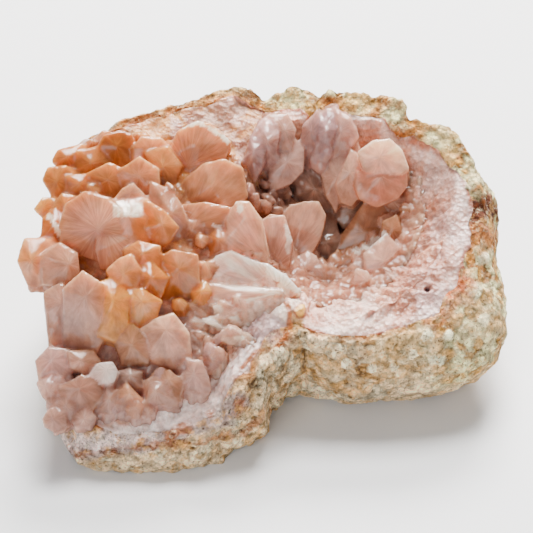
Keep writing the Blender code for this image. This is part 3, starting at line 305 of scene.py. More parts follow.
# Crystals of the hollow, in the same form.
HOLLOW_CRYSTALS = [
    ((24.7, 23.8), 10.4, 0.55, (-0.05, 0.35), [(20.5, 24.9), (23.4, 27.1), (26.8, 27.5),
     (29.2, 25.3), (30.5, 21.8), (29.2, 20.8), (24.2, 20.3), (21.4, 21.8)], (232, 196, 176)),
    ((25.1, 19.7), 9.4, 0.5, (0.05, -0.1), [(20.3, 20.5), (30.1, 21.0), (30.1, 17.5),
     (28.2, 14.9), (24.2, 13.4), (20.8, 14.7), (19.7, 17.5)], (212, 152, 128), [(-90, 0.7),
     (90, 0.2), (0, 0.8), (180, 0.8)]),
    ((18.2, 20.5), 8.2, 0.5, (-0.1, 0.1), [(18.4, 25.1), (21.0, 23.2), (20.8, 16.6), (18.6, 13.8),
     (16.4, 14.5), (15.5, 17.9), (16.8, 21.4)], PALE),
    ((14.2, 17.1), 7.0, 0.6, (-0.2, 0.0), [(12.5, 19.2), (14.7, 18.8), (16.2, 15.3), (15.3, 13.2),
     (13.8, 14.5)], PEACH),
    ((15.4, 19.6), 7.6, 0.5, (0.0, -0.1), [(12.4, 19.8), (14.2, 22.9), (16.5, 26.6), (19.0, 28.4),
     (20.2, 25.0), (17.2, 20.0), (15.6, 17.8), (15.3, 12.8), (13.3, 16.0)], MAUVE),
    ((18.0, 12.0), 4.4, 0.6, (0.0, 0.1), [(15.2, 12.6), (17.2, 14.6), (21.4, 14.4), (21.0, 12.4),
     (19.2, 8.9), (17.2, 8.9), (15.6, 10.6)], SMOKE),
    ((21.4, 7.4), 4.6, 0.3, (-0.3, -0.1), [(21.0, 13.0), (25.8, 13.4), (26.6, 9.6), (25.4, 6.0),
     (20.2, 2.0), (15.0, -0.9), (11.6, -1.2), (15.8, 2.0), (17.2, 5.0), (19.6, 9.0)], BROWN),
    ((27.4, 8.0), 4.6, 0.6, (-0.2, 0.2), [(25.6, 9.6), (28.3, 11.0), (29.3, 7.6), (28.8, 3.0),
     (26.6, 5.6), (25.2, 6.4)], BROWN),
    ((13.0, 5.4), 6.6, 0.5, (0.0, 0.2), [(11.8, 11.3), (14.6, 11.1), (15.5, 7.6), (16.2, 5.2),
     (14.4, 1.0), (11.2, 0.2), (10.0, 5.1)], SMOKE),
    ((7.2, 8.4), 8.0, 0.4, (0.1, 0.25), [(2.6, 9.8), (5.5, 12.8), (8.4, 13.6), (11.0, 13.7),
     (12.5, 10.9), (11.5, 6.5), (9.2, 2.8), (5.2, -0.8), (3.2, 2.2)], PALE),
    ((0.8, 6.4), 7.0, 0.45, (0.0, 0.3), [(-1.8, 9.0), (0.4, 10.1), (3.6, 10.6), (5.2, 5.6),
     (4.4, 0.8), (0.8, -1.0), (-1.2, 1.0)], (204, 160, 142)),
    ((8.8, 0.2), 4.4, 0.6, (0.0, 0.3), [(6.4, 1.6), (9.0, 3.1), (10.7, 2.0), (11.6, -1.0),
     (9.0, -4.4), (6.6, -3.0)], (226, 190, 176)),
    ((-2.9, 25.0), 5.4, 0.7, (-0.1, -0.05), [(-5.8, 21.3), (-3.7, 27.5), (-1.9, 30.9),
     (-0.3, 27.5), (-0.8, 22.8), (-2.7, 18.8), (-4.7, 19.9)], LILAC),
    ((0.2, 27.5), 6.8, 0.8, (0.0, -0.1), [(-1.8, 30.8), (0.8, 32.7), (2.5, 28.9), (2.1, 22.8),
     (0.5, 17.9), (-2.1, 18.9), (-1.1, 23.9)], (192, 162, 164)),
    ((4.0, 29.7), 5.6, 0.6, (0.1, -0.1), [(0.8, 32.7), (4.5, 32.9), (6.4, 29.8), (5.4, 25.9),
     (2.8, 23.6), (1.6, 28.9)], (190, 154, 138)),
    ((4.4, 22.8), 6.6, 0.55, (0.05, 0.0), [(2.1, 24.6), (6.0, 27.6), (7.9, 25.3), (7.7, 21.0),
     (5.3, 18.5), (1.5, 17.2), (0.8, 20.1)], (208, 172, 160)),
    ((9.8, 29.7), 6.0, 0.7, (-0.1, -0.1), [(7.7, 30.3), (10.9, 33.6), (12.1, 29.7), (10.8, 24.6),
     (8.4, 20.6), (7.1, 23.9)], LILAC),
    ((13.2, 29.7), 7.2, 0.8, (0.0, -0.15), [(11.2, 32.7), (15.3, 34.3), (16.1, 30.3),
     (14.1, 24.6), (12.1, 20.5), (10.0, 22.3), (11.5, 28.2)], (170, 142, 146)),
    ((16.3, 29.7), 6.4, 0.7, (0.1, -0.1), [(15.1, 33.9), (18.5, 31.8), (19.7, 28.1), (17.3, 25.9),
     (14.4, 21.1), (12.6, 20.1), (13.8, 25.3), (15.8, 30.4)], (190, 156, 148)),
    ((10.5, 17.0), 5.2, 0.5, (0.0, 0.0), [(6.8, 19.1), (8.7, 21.1), (12.5, 20.4), (13.4, 16.6),
     (14.8, 13.3), (12.5, 12.4), (8.7, 13.6), (6.8, 16.5)], SMOKE),
    ((25.6, 1.2), 3.6, 0.5, (-0.1, 0.3), [(21.6, 2.6), (26.1, 6.7), (28.9, 3.3), (29.8, 0.2),
     (28.3, -4.1), (25.0, -5.1), (22.0, -1.8)], (222, 182, 168)),
    ((21.6, -3.0), 2.8, 0.5, (0.0, 0.3), [(19.6, -0.6), (21.8, -1.2), (23.6, -4.0), (23.2, -6.0),
     (20.2, -5.6), (19.0, -3.2)], (224, 186, 172)),
]


def linear(colour):
    share = np.array(colour, float) / 255.0
    return np.where(share <= 0.04045, share / 12.92, ((share + 0.055) / 1.055) ** 2.4)


def deep(colour, power=1.3):
    """A colour as seen in daylight, made deeper for the shader."""
    return np.minimum(1.14 * linear(colour) ** power, 0.96)


def mixed(low, high, share):
    """Two colours or fields of colours mixed by a share for each point."""
    share = np.clip(np.asarray(share, float), 0.0, 1.0)[:, None]
    return low * (1.0 - share) + high * share


def smooth(value, low, high):
    share = np.clip((value - low) / (high - low), 0.0, 1.0)
    return share * share * (3.0 - 2.0 * share)


def hashed(cells, seed):
    """Three repeatable numbers from 0 to 1 for each whole-number cell."""
    whole = cells.astype(np.int64)
    mix = whole[:, 0] * 73856093 ^ whole[:, 1] * 19349663 ^ whole[:, 2] * 83492791
    mix = (mix ^ (seed * 40503 + 977)) & 0xFFFFFFFF
    numbers = []
    for _ in range(3):
        mix = ((mix ^ (mix >> 15)) * 2246822519) & 0xFFFFFFFF
        mix = ((mix ^ (mix >> 13)) * 3266489917) & 0xFFFFFFFF
        mix = mix ^ (mix >> 16)
        numbers.append(mix / 4294967296.0)
    return np.stack(numbers, axis=1)


def noise(points, size, seed):
    """Soft noise from -1 to 1, with lumps about size across."""
    spots = points / size
    base = np.floor(spots)
    part = spots - base
    part = part * part * (3.0 - 2.0 * part)
    total = np.zeros(len(points))
    for corner in range(8):
        step = np.array([corner & 1, (corner >> 1) & 1, corner >> 2], float)
        weight = np.prod(np.where(step > 0.5, part, 1.0 - part), axis=1)
        total += weight * hashed(base + step, seed)[:, 0]
    return total * 2.0 - 1.0


def layered(points, size, layers, seed):
    total = np.zeros(len(points))
    for layer in range(layers):
        total += noise(points, size / 2.0 ** layer, seed + layer) / 2.0 ** layer
    return total


def cells(points, size, seed):
    """Distances to the nearest two cell centres in cell sizes, and the numbers of the nearest."""
    spots = points / size
    base = np.floor(spots)
    near = np.full(len(points), 9.0)
    next_near = np.full(len(points), 9.0)
    numbers = np.zeros((len(points), 3))
    for step in np.ndindex(3, 3, 3):
        cell = base + np.array(step, float) - 1.0
        there = cell + 0.1 + 0.8 * hashed(cell, seed)
        reach = np.sqrt(((spots - there) ** 2).sum(axis=1))
        closer = reach < near
        next_near = np.where(closer, near, np.minimum(next_near, reach))
        near = np.where(closer, reach, near)
        numbers[closer] = hashed(cell[closer], seed + 71)
    return near, next_near, numbers


def druse(x, y, size, seed, steep, vary):
    """Height of crowded pointed crystals of about size across, and the numbers of each."""
    spots = np.stack([x, y], axis=1) / size
    base = np.floor(spots)
    best = np.full(len(x), -9.0)
    best_numbers = np.zeros((len(x), 3))
    for step in np.ndindex(3, 3):
        cell = base + np.array(step, float) - 1.0
        key = np.concatenate([cell, np.zeros((len(x), 1))], axis=1)
        place = hashed(key, seed)
        shape = hashed(key, seed + 1)
        away = spots - cell - 0.15 - 0.7 * place[:, :2]
        reach = np.full(len(x), -9.0)
        for side in range(5):
            turn = shape[:, 0] * FULL + side * FULL / 5.0
            grade = 0.7 + 0.6 * np.mod(shape[:, 1] * (side + 2.3) * 7.1, 1.0)
            slope = away[:, 0] * np.cos(turn) + away[:, 1] * np.sin(turn)
            reach = np.maximum(reach, grade * slope)
        height = vary * (shape[:, 2] - 0.5) - steep * reach
        higher = height > best
        best = np.where(higher, height, best)
        best_numbers[higher] = place[higher]
    return best * size, best_numbers


def around(x, y):
    return np.arctan2(y - PLAN_CENTRE[1], x - PLAN_CENTRE[0])


def ring(points, angles):
    """Radius and height of a ring of points at the given plan angles."""
    table = np.array(points, float)
    at = around(table[:, 0], table[:, 1])
    radius = np.hypot(table[:, 0] - PLAN_CENTRE[0], table[:, 1] - PLAN_CENTRE[1])
    order = np.argsort(at)
    return (np.interp(angles, at[order], radius[order], period=FULL),
            np.interp(angles, at[order], table[order, 2], period=FULL))


def rind_thickness(angles):
    return ring(RIND_AT_RIM, angles)[1]


def swept(angles, step, inner):
    """Radius and height on the body, step 0 at the bottom centre to 1 at the top centre."""
    rim, rim_z = ring(RIM, angles)
    belly, belly_z = ring(BELLY, angles)
    front = np.clip((FRONT_TO - angles) / FRONT_FADE, 0.0, 1.0)
    front = front * np.clip((angles - FRONT_FROM) / FRONT_FADE, 0.0, 1.0)
    share = FOOT_SHARE + (FOOT_FRONT_SHARE - FOOT_SHARE) * front
    foot = belly * share
    base = np.zeros_like(rim)
    if inner:
        rim = rim - rind_thickness(angles)
        belly = belly - RIND_AT_BELLY
        foot = foot - RIND_AT_BELLY
        base = base + RIND_BELOW
        belly_z = np.maximum(belly_z, base + LEAST_RISE)
        rim_z = np.maximum(rim_z, belly_z + LEAST_RISE)
    under = np.clip(step / FOOT_STEP, 0.0, 1.0)
    lower = np.clip((step - FOOT_STEP) / SIDE_STEPS, 0.0, 1.0) * math.pi / 2.0
    upper = np.clip((RIM_STEP - step) / SIDE_STEPS, 0.0, 1.0)
    upper = SHOULDER + (math.pi / 2.0 - SHOULDER) * upper
    over = np.clip((step - RIM_STEP) / TOP_STEPS, 0.0, 1.0) * math.pi / 2.0
    r_low = foot + (belly - foot) * np.sin(lower)
    z_low = base + (belly_z - base) * (1.0 - np.cos(lower))
    r_up = rim + (belly - rim) * (np.sin(upper) - math.sin(SHOULDER)) / (1 - math.sin(SHOULDER))
    z_up = belly_z + (rim_z - belly_z) * np.cos(upper) / math.cos(SHOULDER)
    radius = np.where(step < BELLY_STEP, r_low, r_up)
    height = np.where(step < BELLY_STEP, z_low, z_up)
    radius = np.where(step < FOOT_STEP, foot * under, radius)
    height = np.where(step < FOOT_STEP, base, height)
    radius = np.where(step > RIM_STEP, rim * np.cos(over), radius)
    height = np.where(step > RIM_STEP, rim_z + DOME * np.sin(over), height)
    return radius, height


def oval_share(x, y, centre, reach):
    """0 at the centre and 1 at the edge of an oval with its own reach to each of four sides."""
    return np.hypot((x - centre[0]) / np.where(x > centre[0], reach[0], reach[1]),
                    (y - centre[1]) / np.where(y > centre[1], reach[2], reach[3]))


def oval_spot(angles, share, centre, reach):
    """Place on the plan at a share of the reach of such an oval."""
    right = np.where(np.cos(angles) > 0.0, reach[0], reach[1])
    back = np.where(np.sin(angles) > 0.0, reach[2], reach[3])
    return (centre[0] + np.cos(angles) * right * share,
            centre[1] + np.sin(angles) * back * share)


def reach_share(x, y):
    """0 at the floor of the hollow, 1 at its edge."""
    return oval_share(x, y, HOLLOW, HOLLOW_REACH)


def face_height(x, y):
    """Height of the broken face over the floor plan."""
    main = FACE_HEIGHT + FACE_SLOPE * y
    front = FRONT_HEIGHT + FRONT_SLOPE * (y - FRONT_Y)
    side = np.clip((SPLIT_X - x) / SPLIT_WIDTH, 0.0, 1.0)
    low = np.where(side > 0.0, np.minimum(main, front + (1.0 - side) * SPLIT_RISE), main)
    low = np.minimum(low, main + LEFT_SLOPE * (x - LEFT_X))
    share = np.sqrt(reach_share(x, y) ** 2 + HOLLOW_FLAT ** 2)
    hollow = HOLLOW_DEPTH * np.clip(HOLLOW_EDGE - share, 0.0, 1.0)
    broad = BROAD_WAVE * np.sin(x * BROAD_PITCH[0] + BROAD_START) * np.cos(y * BROAD_PITCH[1])
    return low - hollow + (broad + LONG_WAVE * np.sin(x * LONG_PITCH[0] - y * LONG_PITCH[1]))


def mound_lift(x, y):
    share = ((x - MOUND[0]) / MOUND[2]) ** 2 + ((y - MOUND[1]) / MOUND[3]) ** 2
    return np.maximum(MOUND[4] * (1.0 - share), 1.0)


def seat_height(x, y):
    return face_height(np.maximum(x, LEFT_X), y) + mound_lift(x, y)


def to_world(u, v, w):
    """World place of a place in the sight frame."""
    u, v, w = np.broadcast_arrays(*(np.asarray(part, float) for part in (u, v, w)))
    return np.stack([u, v * SIN_SIGHT - w * COS_SIGHT,
                     SIGHT_HEIGHT + v * COS_SIGHT + w * SIN_SIGHT], axis=-1)


def sight_place(points):
    """Place of the points in the sight frame."""
    return points[:, 0], points[:, 1] * SIN_SIGHT + (points[:, 2] - SIGHT_HEIGHT) * COS_SIGHT


def zoned(points, colour, zones, cloud):
    """Tints run softly into a colour, each round a place in the sight frame."""
    u, v = sight_place(points)
    for zone_u, zone_v, radius, tint, strength in zones:
        reach = np.hypot(u - zone_u, v - zone_v) / radius + 0.25 * cloud
        colour = mixed(colour, deep(tint), strength * (1.0 - smooth(reach, 0.35, 1.1)))
    return colour


def beside(points, line):
    """Distance from a line in the sight frame, and the place along it."""
    u, v = sight_place(points)
    best = np.full(len(points), 1e6)
    place = np.zeros(len(points))
    start = 0.0
    for (u0, v0), (u1, v1) in zip(line, line[1:]):
        length = math.hypot(u1 - u0, v1 - v0)
        along = ((u - u0) * (u1 - u0) + (v - v0) * (v1 - v0)) / length
        along = np.clip(along, 0.0, length)
        away = np.hypot(u - u0 - along * (u1 - u0) / length, v - v0 - along * (v1 - v0) / length)
        place = np.where(away < best, start + along, place)
        best = np.minimum(best, away)
        start += length
    return best, place


def seat(u, v, height):
    """How far out along w the surface lies at u, v, found from the front."""
    w = np.arange(60.0, -30.0, -0.1)
    spots = to_world(u, v, w)
    below = np.nonzero(spots[:, 2] < height(spots[:, 0], spots[:, 1]))[0]
    return w[below[0]] if len(below) else 0.0


def edge_step(angles, inner):
    """Step at which the profile of each angle crosses the broken face."""
    steps = np.linspace(0.3, 1.0, 1400)
    found = np.zeros(len(angles))
    for index, angle in enumerate(angles):
        radius, height = swept(np.full(len(steps), angle), steps, inner)
        x = PLAN_CENTRE[0] + radius * math.cos(angle)
        y = PLAN_CENTRE[1] + radius * math.sin(angle)
        above = np.nonzero(height > face_height(x, y))[0]
        found[index] = steps[above[0]] if len(above) else RIM_STEP
    return found


def on_plan(x, y):
    """Points on the floor under x, y."""
    return np.stack([x, y, 0.0 * x], axis=1)


def plan_spot(angles, radius):
    return (PLAN_CENTRE[0] + radius * np.cos(angles), PLAN_CENTRE[1] + radius * np.sin(angles))


def banded(points, colour, fine):
    """The white, grey and rusty bands of the broken edge at the left front."""
    front = 1.0 - smooth(points[:, 1], -22.0, -14.0)
    rust = smooth(layered(points, 3.0, 3, 46), 0.15, 0.55)
    grey = mixed(mixed(GREY, BAND_GREY, smooth(fine, -0.3, 0.5)), RUST, 0.8 * rust)
    reach = beside(points, GREY_BAND)[0] + 0.8 * fine
    colour = mixed(colour, grey, front * (1.0 - smooth(reach, 1.6, 3.0)))
    reach = beside(points, RUST_BAND)[0] + 0.9 * fine
    colour = mixed(colour, RUST, 0.75 * front * (1.0 - smooth(reach, 0.1, 0.9)))
    reach = beside(points, WHITE_BAND)[0] + 1.1 * fine
    return mixed(colour, BAND_WHITE, 0.9 * front * (1.0 - smooth(reach, 1.0, 2.6)))


def wedged(points, colour, fine):
    """The top of the wedge of rind between the two halves, its rusty border and its bead."""
    u, v = sight_place(points)
    inside = np.hypot((u - WEDGE[0]) / WEDGE_HALF[0], (v - WEDGE[1]) / WEDGE_HALF[1])
    inside = inside + 0.25 * fine
    colour = mixed(colour, WEDGE_SAND, 0.9 * (1.0 - smooth(inside, 0.75, 1.1)))
    reach = beside(points, WEDGE_LINE)[0] + 0.4 * fine
    colour = mixed(colour, RUST, 0.95 * (1.0 - smooth(reach, 0.25, 0.9)))
    reach = np.hypot(u - BEAD[0], v - BEAD[1])
    colour = mixed(colour, RUST, 0.95 * (1.0 - smooth(reach, 1.2, 1.9)))
    return mixed(colour, BEAD_YELLOW, 1.0 - smooth(reach, 0.85, 1.25))


def tube_faces(rows, count):
    """Triangles of a closed skin: one pole, rows of count points, one pole."""
    first = np.arange(rows - 1)[:, None] * count + np.arange(count)[None, :] + 1
    step = np.where(np.arange(count) == count - 1, 1 - count, 1)[None, :]
    a, b = first, first + step
    c, d = b + count, a + count
    sheet = np.concatenate([np.stack([a, b, c], -1).reshape(-1, 3),
                            np.stack([a, c, d], -1).reshape(-1, 3)])
    here = np.arange(count) + 1
    there = np.roll(here, -1)
    last = rows * count + 1
    low = np.stack([np.zeros(count, int), there, here], -1)
    top = (rows - 1) * count
    high = np.stack([np.full(count, last), here + top, there + top], -1)
    return np.concatenate([low, sheet, high])


def normals_of(points, faces):
    a, b, c = (points[faces[:, k]] for k in range(3))
    flat = np.cross(b - a, c - a)
    total = np.zeros_like(points)
    for k in range(3):
        np.add.at(total, faces[:, k], flat)
    return total / np.maximum(np.linalg.norm(total, axis=1), 1e-12)[:, None]


def mesh_piece(name, points, faces, colours, grain, material, node):
    """A piece of the scene from points in millimetres and linear colours for its points."""
    points[:, 2] = np.maximum(points[:, 2], 0.0)
    mesh = bpy.data.meshes.new(name)
    mesh.from_pydata((points * MM).tolist(), [], faces.tolist())
    mesh.polygons.foreach_set("use_smooth", np.ones(len(faces), bool))
    tint = mesh.color_attributes.new("tint", "FLOAT_COLOR", "POINT")
    full = np.concatenate([np.clip(colours, 0.0, 1.0), np.ones((len(points), 1))], axis=1)
    tint.data.foreach_set("color", full.ravel())
    along = mesh.attributes.new("grain", "FLOAT_VECTOR", "POINT")
    along.data.foreach_set("vector", np.asarray(grain, float).ravel())
    mesh.materials.append(material)
    mesh.update()
    piece = bpy.data.objects.new(name, mesh)
    bpy.context.scene.collection.objects.link(piece)
    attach(piece, "root")
    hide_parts(node)


# Where the outer skin and the rind's inner border meet the broken face, all the way round.
LINE_ANGLES = np.linspace(-math.pi, math.pi, 721)[:-1]
LINE_STEPS = edge_step(LINE_ANGLES, True)
EDGE_STEPS = edge_step(LINE_ANGLES, False)
LINE_RADIUS = swept(LINE_ANGLES, LINE_STEPS, True)[0]
EDGE_RADIUS = swept(LINE_ANGLES, EDGE_STEPS, False)[0]


def at_angle(table, angles):
    return np.interp(angles, LINE_ANGLES, table, period=FULL)


def line_radius(angles):
    """The inner border of the rind on the face, slightly ragged."""
    x, y = plan_spot(angles, at_angle(LINE_RADIUS, angles))
    return at_angle(LINE_RADIUS, angles) + 0.45 * layered(on_plan(x, y), 4.0, 3, 5)


# ---------------------------------------------------------------- rind

RIND_COUNT = 620
RIND_OUT_ROWS = 126
RIND_FACE_ROWS = 16
RIND_IN_ROWS = 12
# The part of the outer rows that lies under the foot.
FOOT_ROWS = 0.1
# How far the inner skin stays under the face.
RIND_UNDERSIDE = 0.4
# Kind of a point of the rind: 0 outside, up to 1 over the face, and over ON_INSIDE inside.
ON_INSIDE = 1.5
INSIDE = 2.0
IVORY = deep((255, 224, 188), 1.1)
GOLDEN = deep((204, 152, 70))
# Dark brown between the golden pebbles, partly earth and partly painted shade.
BROWN_GAP = deep((120, 78, 46))
WARM_WHITE = deep((255, 222, 168), 1.05)
CREAM = deep((240, 210, 168), 1.1)
OCHRE = deep((214, 164, 98), 1.1)
EARTH_AND_SHADE = deep((92, 60, 38), 1.3)
RUST = deep((172, 108, 58), 1.3)
TERRA = deep((204, 150, 94), 1.3)
GREY = deep((178, 158, 148), 1.2)
# Painted light: how much paler the golden part at the top right is made, in red, green and blue.
PAINTED_LIGHT_LIFT = np.array([0.1, 0.24, 0.22])
# Knobs, large to fine: spacing, seed, bend, height, where they level off, least and varying share.
KNOBS = [
    (8.0, 21, 1.3, 2.3, 0.42, 0.6, 0.8), (3.3, 22, 1.3, 1.15, 0.4, 0.3, 1.4),
    (1.3, 23, 0.0, 0.55, 0.35, 0.4, 1.2),
]
CRACK_WIDTH = 0.09
# How far the dome of a ball stands over its edge, and how far it is sunk in.
BALL_DOME = 1.1
BALL_SUNK = 0.3
# Places with a tint of their own: u, v, radius, tint, strength. The pale cream tints along the top
# edge are partly the knobs' own tone, partly painted light.
RIND_ZONES = [
    (45.5, 12.5, 6.5, (112, 64, 38), 1.0), (47.0, 6.0, 4.5, (182, 120, 70), 0.8),
    (40.5, -4.5, 5.5, (186, 108, 64), 0.95), (36.0, -10.0, 4.0, (206, 142, 104), 0.7),
    (22.0, 32.0, 5.0, (196, 130, 74), 0.65), (30.0, 29.0, 4.0, (196, 122, 66), 0.65),
    (11.0, 30.5, 4.5, (200, 150, 84), 0.6), (-38.0, -39.0, 5.0, (206, 166, 124), 0.5),
    (47.0, -12.0, 8.0, (210, 190, 152), 0.6), (1.4, -14.4, 3.4, (190, 164, 158), 0.95),
    (3.0, -14.0, 4.0, (186, 130, 86), 0.6), (5.0, 35.5, 4.0, (252, 222, 168), 0.5),
    (20.0, 36.0, 4.0, (252, 216, 156), 0.4), (38.0, 27.0, 5.0, (255, 226, 174), 0.5),
    (46.0, 19.5, 3.0, (255, 230, 186), 0.6), (28.0, -18.0, 8.0, (214, 184, 134), 0.4),
]
# Pale balls on the front of the rind: column, row and radius.
BALLS = [(441, 301, 1.9), (470, 291, 2.6), (424, 335, 1.7), (446, 334, 1.3), (434, 358, 1.7),
         (299, 311, 1.2), (256, 351, 1.3), (455, 255, 2.4), (410, 352, 1.2), (480, 320, 1.9),
         (392, 365, 1.3), (345, 362, 1.5), (212, 408, 1.1), (236, 420, 1.4), (371, 367, 1.3),
         (466, 189, 1.3), (482, 258, 1.5)]


def rind_rows():
    """Rows of points of the rind: the outside upwards, over the face, and down the inside."""
    angles = np.linspace(-math.pi, math.pi, RIND_COUNT + 1)[:-1]
    edge = at_angle(EDGE_STEPS, angles)
    line = at_angle(LINE_STEPS, angles)
    rows = []
    kinds = []
    for row in range(1, RIND_OUT_ROWS + 1):
        share = row / RIND_OUT_ROWS
        step = np.where(share < FOOT_ROWS, FOOT_STEP * share / FOOT_ROWS,
                        FOOT_STEP + (edge - FOOT_STEP) * (share - FOOT_ROWS) / (1.0 - FOOT_ROWS))
        radius, height = swept(angles, step, False)
        rows.append((*plan_spot(angles, radius), height))
        kinds.append(np.full(RIND_COUNT, 0.0))
    outer = swept(angles, edge, False)[0]
    inner = line_radius(angles)
    for row in range(1, RIND_FACE_ROWS + 1):
        share = row / RIND_FACE_ROWS
        x, y = plan_spot(angles, outer + (inner - outer) * share)
        rows.append((x, y, face_height(x, y)))
        kinds.append(np.full(RIND_COUNT, share))
    for row in range(1, RIND_IN_ROWS + 1):
        share = row / RIND_IN_ROWS
        radius, height = swept(angles, line * (1.0 - share), True)
        x, y = plan_spot(angles, np.maximum(radius, 0.4 * (1.0 - share) + 0.1))
        rows.append((x, y, np.minimum(height, face_height(x, y) - RIND_UNDERSIDE)))
        kinds.append(np.full(RIND_COUNT, INSIDE))
    points = np.concatenate([np.stack(row, axis=1) for row in rows])
    kind = np.concatenate(kinds)
    low = np.array([[PLAN_CENTRE[0], PLAN_CENTRE[1], 0.0]])
    high = np.array([[PLAN_CENTRE[0], PLAN_CENTRE[1], RIND_BELOW]])
    points = np.concatenate([low, points, high])
    kind = np.concatenate([[0.0], kind, [INSIDE]])
    return points, kind, tube_faces(len(rows), RIND_COUNT)


def balls_on(points, normals):
    """1 at the middle of each pale ball on the front of the rind, 0 outside."""
    v = sight_place(points)[1]
    facing = normals[:, 2] * SIN_SIGHT - normals[:, 1] * COS_SIGHT
    found = np.zeros(len(points))
    warp = 0.35 * layered(points, 1.4, 3, 35)
    for column, row, radius in BALLS:
        ball_u = (column - PICTURE_SIDE / 2.0) / PIXELS_PER_MM
        ball_v = (PICTURE_SIDE / 2.0 - row) / PIXELS_PER_MM
        reach = np.hypot(points[:, 0] - ball_u, v - ball_v) + warp
        found = np.maximum(found, np.where(facing > 0.1, 1.0 - reach / radius, 0.0))
    return found


def knobs(points):
    """Height of the knobs, how deep in a crevice, and the numbers of each knob."""
    warp = np.stack([layered(points, 5.0, 2, seed) for seed in (11, 12, 13)], axis=1)
    height = np.zeros(len(points))
    gaps = []
    numbers = []
    for size, seed, bent, tall, level, least, vary in KNOBS:
        near, next_near, own = cells(points + bent * warp, size, seed)
        height += tall * (level - near ** 2) * (least + vary * own[:, 0])
        gaps.append(next_near - near)
        numbers.append(own)
    rough = layered(points, 2.0, 3, 31)
    crack = np.abs(layered(points * np.array([1.0, 1.0, 1.8]), 6.0, 3, 33))
    crack = np.clip(1.0 - crack / CRACK_WIDTH, 0.0, 1.0)
    height += 0.4 * rough - 0.7 * crack
    crevice = np.clip(1.0 - gaps[0] / 0.14, 0.0, 1.0)
    crevice = np.maximum(crevice, 0.7 * np.clip(1.0 - gaps[1] / 0.16, 0.0, 1.0))
    return height, np.maximum(crevice, crack), numbers[1], numbers[0]


def rind_colours(points, kind, crevice, mid_numbers, big_numbers, ball):
    """Cream, ivory knobs and dark brown crevices of earth and painted shade, rust at the edge,
    golden pebbles on the right made paler by painted light.
    """
    broad = layered(points, 13.0, 3, 41)
    fine = layered(points, 2.0, 4, 42)
    colour = mixed(CREAM, OCHRE, smooth(0.6 * broad + 0.9 * fine, -0.2, 0.9))
    ivory = smooth(mid_numbers[:, 1] + 0.5 * fine + 0.2 * broad, 0.55, 0.95)
    colour = mixed(colour, IVORY, ivory * 0.85)
    colour = mixed(colour, OCHRE, smooth(big_numbers[:, 2] + 0.4 * fine, 0.7, 1.0) * 0.6)
    # Dark brown in the crevices: partly earth, partly painted shade.
    colour = mixed(colour, EARTH_AND_SHADE, crevice * (0.6 + 0.35 * fine))
    x, y, z = points.T
    angle = around(x, y)
    over_edge = z - face_height(x, y)
    radius = np.hypot(x - PLAN_CENTRE[0], y - PLAN_CENTRE[1])
    past = at_angle(EDGE_RADIUS, angle) - radius
    near_edge = smooth(past + 0.8 * fine, -2.6, 0.6) * smooth(over_edge, -5.0, -0.5)
    patches = smooth(layered(points, 6.0, 3, 45), -0.15, 0.5)
    colour = mixed(colour, TERRA, near_edge * patches * 0.8)
    on_face = (kind > 0.0) & (kind < ON_INSIDE)
    share = np.where(on_face, kind, 0.0)
    left = at_angle(EDGE_RADIUS, angle) - at_angle(LINE_RADIUS, angle)
    from_line = (1.0 - share) * left
    stain = np.where(on_face, 1.0 - smooth(from_line + 0.9 * fine, 0.3, 1.9), 0.0)
    colour = mixed(colour, TERRA, np.where(on_face, 0.25 + 0.5 * patches, 0.0))
    colour = mixed(colour, RUST, stain * 0.85)
    rim = np.clip(1.0 - np.abs(ball - 0.12) / 0.12, 0.0, 1.0)
    colour = mixed(colour, IVORY, smooth(ball, 0.1, 0.35))
    colour = mixed(colour, OCHRE * 0.8, rim * 0.6)
    golden = smooth(0.9 * x + 0.6 * y, 10.0, 24.0) * smooth(over_edge, -17.0, -9.0)
    near, next_near, tone = cells(points + 0.5 * fine[:, None], 2.5, 24)
    base = mixed(GOLDEN, RUST, 0.8 * smooth(layered(points, 3.0, 3, 50), 0.0, 0.5))
    base = mixed(base, WARM_WHITE, 0.95 * smooth(tone[:, 0] + 0.3 * fine, 0.45, 0.65))
    # Dark brown between the golden pebbles: partly earth, partly painted shade.
    base = mixed(base, BROWN_GAP, 0.75 * np.clip(1.0 - (next_near - near) / 0.25, 0.0, 1.0))
    colour = mixed(colour, base, 0.85 * golden * (1.0 - smooth(ball, 0.0, 0.3)))
    rusty = smooth(layered(points, 2.6, 4, 49), 0.15, 0.5) * near_edge
    colour = mixed(colour, RUST, golden * rusty * 0.6)
    # Painted light: the golden part at the top right made paler.
    colour = colour * (1.0 + golden[:, None] * PAINTED_LIGHT_LIFT)
    colour = zoned(points, colour, RIND_ZONES, 1.5 * fine)
    return wedged(points, banded(points, colour, fine), fine)


def make_rind():
    points, kind, faces = rind_rows()
    normals = normals_of(points, faces)
    if normals[0, 2] > 0.0:
        faces = faces[:, ::-1]
        normals = -normals
    height, crevice, mid_numbers, big_numbers = knobs(points)
    ball = balls_on(points, normals)
    angle = around(points[:, 0], points[:, 1])
    thin = smooth(rind_thickness(angle), 1.5, 5.0) * 0.45 + 0.55
    on_face = (kind > 0.0) & (kind < ON_INSIDE)
    amount = np.where(on_face, 1.0 - 0.9 * smooth(kind, 0.0, 0.5), 1.0) * thin
    amount = np.where(kind > ON_INSIDE, 0.0, amount)
    grain = 0.5 * layered(points, 1.6, 3, 51)
    lift = height * amount + np.where(on_face, grain * (1.0 - smooth(kind, 0.8, 1.0)), 0.0)
    dome = np.sqrt(np.clip(ball, 0.0, 1.0)) * BALL_DOME
    lift = np.where((ball > 0.0) & (kind < ON_INSIDE), np.maximum(lift, dome - BALL_SUNK), lift)
    colours = rind_colours(points, kind, crevice, mid_numbers, big_numbers, ball)
    points = points + normals * lift[:, None]
    mesh_piece("rind_knobs", points, faces, colours, points, rind_material(), "rind")


# ---------------------------------------------------------------- quartz wall

WALL_COUNT = 520
WALL_ROWS = 168
WALL_UNDER = 10
